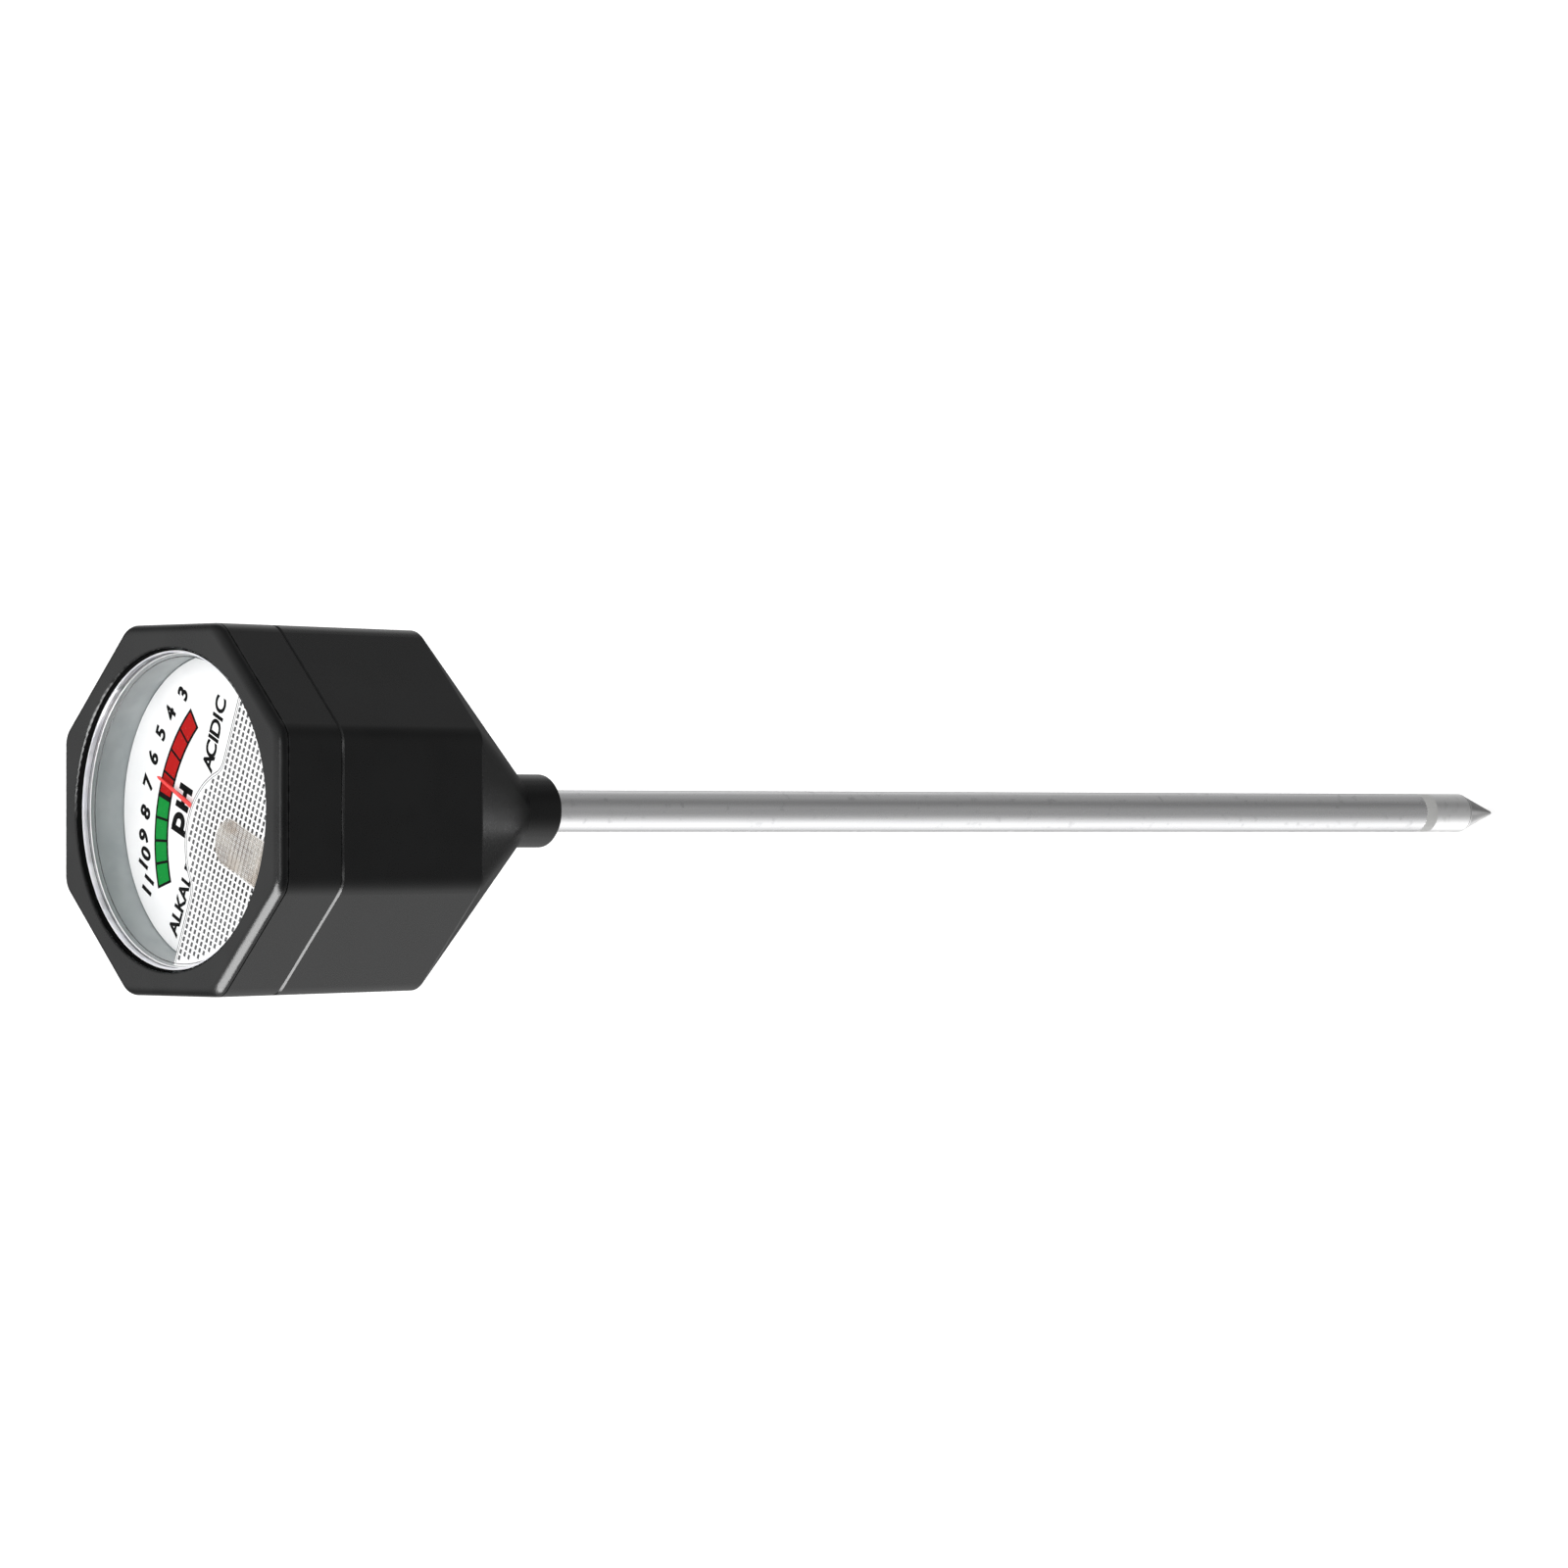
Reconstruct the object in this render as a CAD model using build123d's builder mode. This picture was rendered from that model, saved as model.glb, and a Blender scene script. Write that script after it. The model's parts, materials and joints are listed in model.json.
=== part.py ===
from build123d import *
from math import asin, atan2, cos, degrees, hypot, pi, radians, sin
import os

os.makedirs("parts", exist_ok=True)

# Analogue soil pH meter: an octagonal head on one long probe. All sizes are in millimetres.
# The origin is the probe's point. +Z runs up the probe to the dial, and the reader stands at -Y.

# ---- head shells ----
FACE_Z = 280.0            # front face of the bezel, so also the meter's full length
SEAM_Z = 268.2            # joint between the front cap and the rear housing
SHOULDER_Z = 241.6        # where the straight sides turn into the pyramid
COLLAR_BASE_Z = 215.3     # foot of the pyramid
COLLAR_END_Z = 208.9      # where the probe comes out
FACE_AF = 56.0            # octagon across flats at the face
SHOULDER_AF = 54.9        # the sides have a little draft
COLLAR_AF = 11.4
SEAM_AF = FACE_AF - (FACE_AF - SHOULDER_AF) * (FACE_Z - SEAM_Z) / (FACE_Z - SHOULDER_Z)
CORNER_R = 4.0            # upright corners of the head
COLLAR_CORNER_R = 5.4     # the pyramid's corners open out until the collar is round
HOLLOW_CORNER_R = 2.5
RIM_R = 1.6               # rounding round the face
SHOULDER_R = 0.7
COLLAR_END_R = 0.6
SEAM_BEVEL = 0.3
SHADOW_GROOVE = 0.25      # depth and height of the fine groove under the rounded rim

WINDOW_R = 24.4
WINDOW_EDGE_R = 0.35
LIP_Z = 277.6             # underside of the bezel's lip
CASE_BORE_R = 25.6
SPIGOT_R = 26.5           # ring of the rear housing that enters the front cap
SPIGOT_TOP_Z = 272.0
SPIGOT_CLEAR = 0.1
HOUSING_BORE_R = 25.65
CASE_SEAT_Z = 251.0       # ledge in the rear housing that carries the meter case
HOLLOW_AF = 48.4
HOLLOW_FLOOR_Z = 222.0
HOLLOW_TOP_Z = 242.2
HOLLOW_FLOOR_AF = 15.0

# ---- probe ----
PROBE_R = 3.25
TUBE_BORE_R = 2.15
TUBE_BOTTOM_Z = 18.4
TUBE_TOP_Z = 230.0
SHANK_R = 3.0             # the tube's end above the shoulder that seats on the collar
SHANK_HOLE_R = 3.02
TIP_TOP_Z = 15.9          # top of the electrode tip, and foot of the insulating ring
TIP_GROOVE_Z = 7.96
CONE_Z = 7.45
POINT_R = 0.35
ROD_R = 0.8
ROD_BOTTOM_Z = 8.2
ROD_TOP_Z = 236.2
SLEEVE_BORE_R = 0.85
SLEEVE_R = 2.1
SLEEVE_BOTTOM_Z = 26.2
SLEEVE_TOP_Z = 232.0
SOCKET_R = 2.05           # socket in the tip for the insulating ring's spigot
SOCKET_Z = 12.9
TAG_T = 0.5
WASHER_T = 0.7
NUT_T = 3.4
NUT_AF = 10.0

# ---- dial module: a round case turned in the octagon, with the movement off its centre ----
MODULE_TURN = -22.5
CASE_R = 25.4
WELL_R = 23.75            # inside wall above the dial
CASE_INNER_R = 22.6       # inside wall below the dial
CASE_FLOOR_T = 1.6
DIAL_TOP_Z = 271.5
DIAL_T = 0.5
DIAL_R = 23.6
LENS_R = 24.1
LENS_TOP_Z = 279.1
LENS_EDGE_R = 0.45
PAD_T = 0.6               # depth of the raised fields under the lens
PAD_LINE = -6.5           # straight edge of the waffle field, from the case's centre
PAD_RING_W = 0.7          # locating ring under the lens's edge
HUMP_CENTRE = (-0.3, -13.1)
HUMP_R = 11.65
HUMP_BLEND_R = 3.0

PIVOT_X = -6.4
PIVOT_Y = -9.0
NEEDLE_REST_ANGLE = 62.5  # from +X, about the pivot
NEEDLE_UP = 42.4          # swing towards the alkaline end
NEEDLE_DOWN = -30.7       # swing towards the acidic end
NEEDLE_LENGTH = 25.2
NEEDLE_Z = 272.4
NEEDLE_T = 0.3

# ---- movement ----
CORE_R = 4.5
CORE_BOTTOM_Z = 260.2
CORE_TOP_Z = 268.2
YOKE_INNER_R = 6.3
YOKE_R = 8.5
FRAME_BOTTOM_Z = 254.6
FRAME_T = 1.8
FRAME_W = 23.0
FRAME_D = 14.4
RIB_W = 4.2
CORE_LEDGE = 0.3
BRIDGE_X = 1.2            # middle of the bridge arm, beside the pivot
BRIDGE_W = 7.2
BRIDGE_END_Y = -10.7      # the arm's screwed end, from the pivot
POST_D = 2.0
BRIDGE_Z = 274.9
BRIDGE_T = 1.0
BOBBIN_INNER = 4.85       # half length of the coil's opening
BOBBIN_T = 0.35
BOBBIN_W = 3.4
BOBBIN_GAP = 0.4          # above and below the core
WINDING_T = 0.6
WINDING_W = 2.8
STAFF_R = 0.45
PIVOT_R = 0.2
JEWEL_R = 0.26
SCREW_SHANK_R = 1.0
SCREW_HEAD_R = 1.6
SLOT_W = 0.45
SPRING_T = 0.12
SPRING_H = 0.4
SPRING_TURNS = 3.5
SPRING_INNER_R = 0.85
SPRING_OUTER_R = 3.4
TERMINALS = ((8.0, 5.0), (-8.0, 5.0))
TERMINAL_R = 1.0
TERMINAL_END_Z = 247.5
LEAD_R = 0.6


def turned_plane(x, y, z, angle):
    """A level plane at (x, y, z) whose own X axis points at this angle from +X."""
    return Plane(origin=(x, y, z), x_dir=(cos(radians(angle)), sin(radians(angle)), 0), z_dir=(0, 0, 1))


def case_plane(z):
    return turned_plane(0, 0, z, MODULE_TURN)


def pivot_plane(z):
    return turned_plane(PIVOT_X, PIVOT_Y, z, MODULE_TURN)


def needle_plane(z):
    return turned_plane(PIVOT_X, PIVOT_Y, z, NEEDLE_REST_ANGLE)


def rounded_octagon(across_flats, corner_r):
    """Octagon with flats facing X and Y, added to the sketch in hand."""
    RegularPolygon(across_flats / 2, 8, major_radius=False, rotation=22.5)
    fillet(vertices(), corner_r)


def finish(part, name):
    """Label one finished piece and write it."""
    part.label = name
    export_step(part, f"parts/{name}.step")


def cylinder_between(radius, low, high, plane=Plane.XY, mode=Mode.ADD):
    """Upright cylinder on a level plane's centre, from height low to height high."""
    with BuildSketch(Plane((plane.origin.X, plane.origin.Y, low), plane.x_dir, plane.z_dir)) as disc:
        Circle(radius)
    extrude(disc.sketch, amount=high - low, mode=mode)


def spiral_strip(inner_end, outer_end):
    """Outline of a flat spiral strip between two angles in degrees, as a face in the sketch in hand."""
    steps = int(SPRING_TURNS * 12)
    sweep_angle = outer_end - inner_end + 360 * int(SPRING_TURNS)

    def point(step, side):
        along = step / steps
        angle = radians(inner_end + sweep_angle * along)
        radius = SPRING_INNER_R + (SPRING_OUTER_R - SPRING_INNER_R) * along + side * SPRING_T / 2
        return (radius * cos(angle), radius * sin(angle))

    with BuildLine() as outline:
        Spline(*[point(step, 1) for step in range(steps + 1)])
        Spline(*[point(step, -1) for step in range(steps + 1)])
        Line(point(0, 1), point(0, -1))
        Line(point(steps, 1), point(steps, -1))
    make_face(outline.edges())


# ---- front cap: the bezel, with its window and the bore that takes the meter case ----
with BuildPart() as front_cap:
    with BuildSketch(Plane.XY.offset(SEAM_Z)):
        rounded_octagon(SEAM_AF, CORNER_R)
    with BuildSketch(Plane.XY.offset(FACE_Z)):
        rounded_octagon(FACE_AF, CORNER_R)
    loft(ruled=True)
    fillet(front_cap.faces().sort_by(Axis.Z)[-1].edges(), RIM_R)
    chamfer(front_cap.faces().sort_by(Axis.Z)[0].edges(), SEAM_BEVEL)
    cylinder_between(CASE_BORE_R, SEAM_Z, LIP_Z, mode=Mode.SUBTRACT)
    cylinder_between(SPIGOT_R + SPIGOT_CLEAR, SEAM_Z, SPIGOT_TOP_Z + SPIGOT_CLEAR, mode=Mode.SUBTRACT)
    cylinder_between(WINDOW_R, LIP_Z, FACE_Z, mode=Mode.SUBTRACT)
    fillet(front_cap.faces().sort_by(Axis.Z)[-1].inner_wires()[0].edges(), WINDOW_EDGE_R)
    with BuildSketch(Plane.XY.offset(FACE_Z - RIM_R - SHADOW_GROOVE)):
        Circle(FACE_AF)
        with BuildSketch(mode=Mode.SUBTRACT):
            rounded_octagon(FACE_AF - 2 * SHADOW_GROOVE, CORNER_R)
    extrude(amount=SHADOW_GROOVE, mode=Mode.SUBTRACT)
finish(front_cap.part, "front_cap")

# ---- rear housing: straight sides, pyramid and collar, hollow to a constant wall ----
with BuildPart() as rear_housing:
    with BuildSketch(Plane.XY.offset(SEAM_Z)):
        rounded_octagon(SEAM_AF, CORNER_R)
    with BuildSketch(Plane.XY.offset(SHOULDER_Z)):
        rounded_octagon(SHOULDER_AF, CORNER_R)
    loft(ruled=True)
    chamfer(rear_housing.faces().sort_by(Axis.Z)[-1].edges(), SEAM_BEVEL)
    with BuildSketch(Plane.XY.offset(SHOULDER_Z)):
        rounded_octagon(SHOULDER_AF, CORNER_R)
    with BuildSketch(Plane.XY.offset(COLLAR_BASE_Z)):
        rounded_octagon(COLLAR_AF, COLLAR_CORNER_R)
    loft(ruled=True)
    with BuildSketch(Plane.XY.offset(COLLAR_BASE_Z)):
        rounded_octagon(COLLAR_AF, COLLAR_CORNER_R)
    extrude(amount=COLLAR_END_Z - COLLAR_BASE_Z)
    fillet(rear_housing.faces().sort_by(Axis.Z)[0].edges(), COLLAR_END_R)
    shoulder = rear_housing.edges().filter_by_position(Axis.Z, SHOULDER_Z - 0.01, SHOULDER_Z + 0.01)
    fillet(shoulder, SHOULDER_R)
    cylinder_between(SPIGOT_R, SEAM_Z - 1.0, SPIGOT_TOP_Z)
    cylinder_between(HOUSING_BORE_R, CASE_SEAT_Z, SPIGOT_TOP_Z, mode=Mode.SUBTRACT)
    with BuildSketch(Plane.XY.offset(HOLLOW_TOP_Z)):
        rounded_octagon(HOLLOW_AF, CORNER_R)
    extrude(amount=CASE_SEAT_Z - HOLLOW_TOP_Z, mode=Mode.SUBTRACT)
    with BuildSketch(Plane.XY.offset(HOLLOW_TOP_Z)):
        rounded_octagon(HOLLOW_AF, CORNER_R)
    with BuildSketch(Plane.XY.offset(HOLLOW_FLOOR_Z)):
        rounded_octagon(HOLLOW_FLOOR_AF, HOLLOW_CORNER_R)
    loft(ruled=True, mode=Mode.SUBTRACT)
    cylinder_between(SHANK_HOLE_R, COLLAR_END_Z, HOLLOW_FLOOR_Z, mode=Mode.SUBTRACT)
finish(rear_housing.part, "rear_housing")

# ---- lens: a clear disc bonded on the case's rim, with a locating ring and the waffle field below ----
with BuildPart() as clear_lens:
    cylinder_between(LENS_R, LIP_Z, LENS_TOP_Z)
    fillet(clear_lens.faces().sort_by(Axis.Z)[-1].edges(), LENS_EDGE_R)
    with BuildSketch(Plane.XY.offset(LIP_Z - PAD_T)):
        Circle(DIAL_R)
        Circle(DIAL_R - PAD_RING_W, mode=Mode.SUBTRACT)
    extrude(amount=PAD_T)
    with BuildSketch(case_plane(LIP_Z - PAD_T)) as waffle_field:
        Circle(DIAL_R)
        with Locations((0, PAD_LINE)):
            Rectangle(2 * CASE_R, 2 * CASE_R, align=(Align.CENTER, Align.MIN), mode=Mode.SUBTRACT)
        with Locations(HUMP_CENTRE):
            Circle(HUMP_R)
        Circle(DIAL_R, mode=Mode.INTERSECT)
        inside_corners = waffle_field.vertices().filter_by(lambda corner: hypot(corner.X, corner.Y) < DIAL_R - 1)
        fillet(inside_corners, HUMP_BLEND_R)
    extrude(amount=PAD_T)
finish(clear_lens.part, "clear_lens")

# ---- meter case: the grey cup round the dial, with pillars for the dial and the movement ----
CASE_FLOOR_Z = CASE_SEAT_Z + CASE_FLOOR_T
DIAL_SCREWS = ((-17.5, -9.5), (17.5, -9.5))
DIAL_PILLAR_R = 2.2
DIAL_SCREW_R = 0.8
FRAME_SCREWS = ((9.5, 5.2), (-9.5, -5.2))
FRAME_FEET = ((9.5, 5.2), (-9.5, -5.2), (9.5, -5.2), (-9.5, 5.2))
FRAME_FOOT_R = 1.8
DIAL_BOTTOM_Z = DIAL_TOP_Z - DIAL_T
with BuildPart() as meter_case:
    cylinder_between(CASE_R, CASE_SEAT_Z, LIP_Z)
    cylinder_between(WELL_R, DIAL_BOTTOM_Z, LIP_Z, mode=Mode.SUBTRACT)
    cylinder_between(CASE_INNER_R, CASE_FLOOR_Z, DIAL_BOTTOM_Z, mode=Mode.SUBTRACT)
    with BuildSketch(case_plane(CASE_FLOOR_Z)):
        with Locations(*DIAL_SCREWS):
            Circle(DIAL_PILLAR_R)
            Circle(DIAL_SCREW_R, mode=Mode.SUBTRACT)
    extrude(amount=DIAL_BOTTOM_Z - CASE_FLOOR_Z)
    with BuildSketch(pivot_plane(CASE_FLOOR_Z)):
        with Locations(*FRAME_FEET):
            Circle(FRAME_FOOT_R)
        with Locations(*FRAME_SCREWS):
            Circle(DIAL_SCREW_R, mode=Mode.SUBTRACT)
    extrude(amount=FRAME_BOTTOM_Z - CASE_FLOOR_Z)
    with BuildSketch(Plane.XY.offset(CASE_SEAT_Z)):
        with Locations(*TERMINALS):
            Circle(TERMINAL_R + 0.05)
    extrude(amount=CASE_FLOOR_T, mode=Mode.SUBTRACT)
finish(meter_case.part, "meter_case")

# ---- dial plate: a disc on the case's step, cut away round the movement ----
STOP_R = 0.5
STOP_DISTANCE = 9.0
STOP_SHANK_R = 0.4
STOP_PRESSED = 0.4        # how far a pin goes below the dial plate
STOP_H = 1.7
STOP_MARGIN = degrees(asin((STOP_R + 0.62) / STOP_DISTANCE))
STOP_ANGLES = (NEEDLE_UP + STOP_MARGIN, NEEDLE_DOWN - STOP_MARGIN)
STOPS = [(STOP_DISTANCE * cos(radians(a)), STOP_DISTANCE * sin(radians(a))) for a in STOP_ANGLES]
CUTOUT_R = 8.0
CUTOUT_TOP_Y = 3.0
CUTOUT_W = 25.0
CUTOUT_D = 12.5
POST_CLEAR = 0.5
with BuildPart() as dial_plate:
    cylinder_between(DIAL_R, DIAL_BOTTOM_Z, DIAL_TOP_Z)
    with BuildSketch(pivot_plane(DIAL_BOTTOM_Z)):
        Circle(CUTOUT_R)
        with Locations((0, CUTOUT_TOP_Y)):
            RectangleRounded(CUTOUT_W, CUTOUT_D, 1.5, align=(Align.CENTER, Align.MAX))
        with Locations((BRIDGE_X, 0)):
            RectangleRounded(
                BRIDGE_W + 2 * POST_CLEAR, POST_CLEAR - BRIDGE_END_Y, POST_CLEAR, align=(Align.CENTER, Align.MAX)
            )
    extrude(amount=DIAL_T, mode=Mode.SUBTRACT)
    with BuildSketch(case_plane(DIAL_BOTTOM_Z)):
        with Locations(*DIAL_SCREWS):
            Circle(DIAL_SCREW_R + 0.1)
    extrude(amount=DIAL_T, mode=Mode.SUBTRACT)
    with BuildSketch(needle_plane(DIAL_BOTTOM_Z)):
        with Locations(*STOPS):
            Circle(STOP_SHANK_R)
    extrude(amount=DIAL_T, mode=Mode.SUBTRACT)
finish(dial_plate.part, "dial_plate")

# ---- pointer stops: two pins pressed into the dial plate just past the ends of the swing ----
with BuildPart() as pointer_stops:
    with BuildSketch(needle_plane(DIAL_BOTTOM_Z - STOP_PRESSED)):
        with Locations(*STOPS):
            Circle(STOP_SHANK_R)
    extrude(amount=DIAL_T + STOP_PRESSED)
    with BuildSketch(needle_plane(DIAL_TOP_Z)):
        with Locations(*STOPS):
            Circle(STOP_R)
    extrude(amount=STOP_H)
finish(pointer_stops.part, "pointer_stops")


def screws(name, plane_at, places, seat_z, head_r, head_t, shank_r, shank_length):
    """Slotted screws that sit head up on seat_z, as one group of separate solids."""
    with BuildPart() as group:
        with BuildSketch(plane_at(seat_z)):
            with Locations(*places):
                Circle(head_r)
        extrude(amount=head_t)
        with BuildSketch(plane_at(seat_z)):
            with Locations(*places):
                Circle(shank_r)
        extrude(amount=-shank_length)
        with BuildSketch(plane_at(seat_z + head_t)):
            with Locations(*places):
                Rectangle(3 * head_r, SLOT_W)
        extrude(amount=-head_t / 2, mode=Mode.SUBTRACT)
    finish(group.part, name)


screws("dial_screws", case_plane, DIAL_SCREWS, DIAL_TOP_Z, 1.5, 0.7, DIAL_SCREW_R, 5.0)

# ---- movement frame: moulded floor, ring wall, two ribs that grip the core, one post for the bridge ----
FRAME_FLOOR_Z = FRAME_BOTTOM_Z + FRAME_T
SPRING_POST_R = 0.45
SPRING_END_R = SPRING_OUTER_R + SPRING_POST_R
LOWER_SPRING_Z = 257.5
LOWER_ANCHOR_ANGLE = -90
BRIDGE_SCREW_R = 0.6
BRIDGE_SCREW_DEPTH = 4.0
BRIDGE_SCREW_Y = BRIDGE_END_Y + POST_D / 2
BRIDGE_SCREWS = ((BRIDGE_X - 2.2, BRIDGE_SCREW_Y), (BRIDGE_X + 2.2, BRIDGE_SCREW_Y))
with BuildPart() as movement_frame:
    with BuildSketch(pivot_plane(FRAME_BOTTOM_Z)):
        RectangleRounded(FRAME_W, FRAME_D, 2.0)
        Circle(YOKE_R + 0.1)
        with Locations((BRIDGE_X, BRIDGE_END_Y)):
            Rectangle(BRIDGE_W, -BRIDGE_END_Y, align=(Align.CENTER, Align.MIN))
        with Locations(*FRAME_SCREWS):
            Circle(DIAL_SCREW_R + 0.1, mode=Mode.SUBTRACT)
        Circle(SCREW_SHANK_R, mode=Mode.SUBTRACT)
    extrude(amount=FRAME_T)
    with BuildSketch(pivot_plane(FRAME_FLOOR_Z)):
        Circle(YOKE_R)
        Circle(YOKE_INNER_R, mode=Mode.SUBTRACT)
    extrude(amount=CORE_BOTTOM_Z - FRAME_FLOOR_Z)
    with BuildSketch(pivot_plane(FRAME_FLOOR_Z)):
        Circle(YOKE_INNER_R)
        Circle(CORE_R - CORE_LEDGE, mode=Mode.SUBTRACT)
        Rectangle(2 * YOKE_INNER_R, RIB_W, mode=Mode.INTERSECT)
    extrude(amount=CORE_TOP_Z - FRAME_FLOOR_Z)
    cylinder_between(CORE_R, CORE_BOTTOM_Z, CORE_TOP_Z, pivot_plane(0), Mode.SUBTRACT)
    with BuildSketch(pivot_plane(FRAME_FLOOR_Z)):
        with Locations((BRIDGE_X, BRIDGE_END_Y)):
            Rectangle(BRIDGE_W, POST_D, align=(Align.CENTER, Align.MIN))
    extrude(amount=BRIDGE_Z - FRAME_FLOOR_Z)
    with BuildSketch(pivot_plane(BRIDGE_Z)):
        with Locations(*BRIDGE_SCREWS):
            Circle(BRIDGE_SCREW_R)
    extrude(amount=-BRIDGE_SCREW_DEPTH, mode=Mode.SUBTRACT)
    with BuildSketch(pivot_plane(FRAME_FLOOR_Z)):
        with PolarLocations(SPRING_END_R, 1, start_angle=LOWER_ANCHOR_ANGLE):
            Circle(SPRING_POST_R)
    extrude(amount=LOWER_SPRING_Z + SPRING_H - FRAME_FLOOR_Z)
finish(movement_frame.part, "movement_frame")

screws("frame_screws", pivot_plane, FRAME_SCREWS, FRAME_FLOOR_Z, 1.4, 0.7, DIAL_SCREW_R, 3.2)

# ---- top bridge: one arm from the post to the pivot, and its screws ----
BRIDGE_TOP_Z = BRIDGE_Z + BRIDGE_T
with BuildPart() as top_bridge:
    with BuildSketch(pivot_plane(BRIDGE_Z)):
        with Locations((BRIDGE_X, BRIDGE_END_Y)):
            Rectangle(BRIDGE_W, -BRIDGE_END_Y, align=(Align.CENTER, Align.MIN))
        with Locations((BRIDGE_X, 0)):
            Circle(BRIDGE_W / 2)
        Circle(SCREW_SHANK_R, mode=Mode.SUBTRACT)
        with Locations(*BRIDGE_SCREWS):
            Circle(BRIDGE_SCREW_R + 0.05, mode=Mode.SUBTRACT)
    extrude(amount=BRIDGE_T)
finish(top_bridge.part, "top_bridge")

screws("bridge_screws", pivot_plane, BRIDGE_SCREWS, BRIDGE_TOP_Z, 1.0, 0.6, BRIDGE_SCREW_R, 4.5)

# ---- core magnet and iron yoke ring ----
with BuildPart() as core_magnet:
    cylinder_between(CORE_R, CORE_BOTTOM_Z, CORE_TOP_Z, pivot_plane(0))
    chamfer(core_magnet.edges(), 0.3)
finish(core_magnet.part, "core_magnet")

with BuildPart() as yoke_ring:
    with BuildSketch(pivot_plane(CORE_BOTTOM_Z)):
        Circle(YOKE_R)
        Circle(YOKE_INNER_R, mode=Mode.SUBTRACT)
    extrude(amount=CORE_TOP_Z - CORE_BOTTOM_Z)
finish(yoke_ring.part, "yoke_ring")

# ---- jewel screws: each has a blind cup that holds one end of the coil's staff ----
JEWEL_DEPTH = 0.55
UPPER_JEWEL_Z = 273.95
LOWER_JEWEL_Z = 256.85
with BuildPart() as upper_jewel_screw:
    cylinder_between(SCREW_SHANK_R, UPPER_JEWEL_Z, BRIDGE_TOP_Z, pivot_plane(0))
    cylinder_between(SCREW_HEAD_R, BRIDGE_TOP_Z, BRIDGE_TOP_Z + 0.6, pivot_plane(0))
    cylinder_between(JEWEL_R, UPPER_JEWEL_Z, UPPER_JEWEL_Z + JEWEL_DEPTH, pivot_plane(0), Mode.SUBTRACT)
    with BuildSketch(pivot_plane(BRIDGE_TOP_Z + 0.6)):
        Rectangle(3 * SCREW_HEAD_R, SLOT_W)
    extrude(amount=-0.35, mode=Mode.SUBTRACT)
finish(upper_jewel_screw.part, "upper_jewel_screw")

with BuildPart() as lower_jewel_screw:
    cylinder_between(SCREW_SHANK_R, FRAME_BOTTOM_Z, LOWER_JEWEL_Z, pivot_plane(0))
    cylinder_between(SCREW_HEAD_R, FRAME_BOTTOM_Z - 0.7, FRAME_BOTTOM_Z, pivot_plane(0))
    cylinder_between(JEWEL_R, LOWER_JEWEL_Z - JEWEL_DEPTH, LOWER_JEWEL_Z, pivot_plane(0), Mode.SUBTRACT)
    with BuildSketch(pivot_plane(FRAME_BOTTOM_Z - 0.7)):
        Rectangle(3 * SCREW_HEAD_R, SLOT_W)
    extrude(amount=0.35, mode=Mode.SUBTRACT)
finish(lower_jewel_screw.part, "lower_jewel_screw")

# ---- moving coil: bobbin and winding, a tall loop round the core in line with the needle ----
BOBBIN_LOW = CORE_BOTTOM_Z - BOBBIN_GAP
BOBBIN_HIGH = CORE_TOP_Z + BOBBIN_GAP
COIL_MIDDLE_Z = (BOBBIN_LOW + BOBBIN_HIGH) / 2
BOBBIN_HEIGHT = BOBBIN_HIGH - BOBBIN_LOW
NEEDLE_DIRECTION = (cos(radians(NEEDLE_REST_ANGLE)), sin(radians(NEEDLE_REST_ANGLE)), 0)
coil_plane = Plane(
    origin=(PIVOT_X, PIVOT_Y, COIL_MIDDLE_Z),
    x_dir=NEEDLE_DIRECTION,
    z_dir=(NEEDLE_DIRECTION[1], -NEEDLE_DIRECTION[0], 0),
)
with BuildPart() as coil_bobbin:
    with BuildSketch(coil_plane):
        Rectangle(2 * (BOBBIN_INNER + BOBBIN_T), BOBBIN_HEIGHT + 2 * BOBBIN_T)
        Rectangle(2 * BOBBIN_INNER, BOBBIN_HEIGHT, mode=Mode.SUBTRACT)
    extrude(amount=BOBBIN_W / 2, both=True)
finish(coil_bobbin.part, "coil_bobbin")

with BuildPart() as coil_winding:
    with BuildSketch(coil_plane):
        outer_length = 2 * (BOBBIN_INNER + BOBBIN_T + WINDING_T)
        outer_height = BOBBIN_HEIGHT + 2 * (BOBBIN_T + WINDING_T)
        RectangleRounded(outer_length, outer_height, 0.5)
        Rectangle(2 * (BOBBIN_INNER + BOBBIN_T), BOBBIN_HEIGHT + 2 * BOBBIN_T, mode=Mode.SUBTRACT)
    extrude(amount=WINDING_W / 2, both=True)
    with BuildSketch(needle_plane(BOBBIN_LOW - 2.0)):
        Circle(STAFF_R + 0.35)
    extrude(amount=BOBBIN_HEIGHT + 4.0, mode=Mode.SUBTRACT)
finish(coil_winding.part, "coil_winding")

# ---- staffs: glued on the bobbin, each ends in a fine pivot inside its jewel screw ----
COLLET_R = 0.8
UPPER_SPRING_Z = 273.2
UPPER_STAFF_TOP = 273.65
with BuildPart() as upper_staff:
    cylinder_between(COLLET_R, BOBBIN_HIGH + BOBBIN_T, BOBBIN_HIGH + BOBBIN_T + WINDING_T + 0.4, needle_plane(0))
    cylinder_between(STAFF_R, BOBBIN_HIGH + BOBBIN_T, UPPER_STAFF_TOP, needle_plane(0))
    cylinder_between(COLLET_R, UPPER_SPRING_Z, UPPER_STAFF_TOP - 0.05, needle_plane(0))
    cylinder_between(PIVOT_R, UPPER_STAFF_TOP, UPPER_JEWEL_Z + JEWEL_DEPTH - 0.15, needle_plane(0))
finish(upper_staff.part, "upper_staff")

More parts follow.
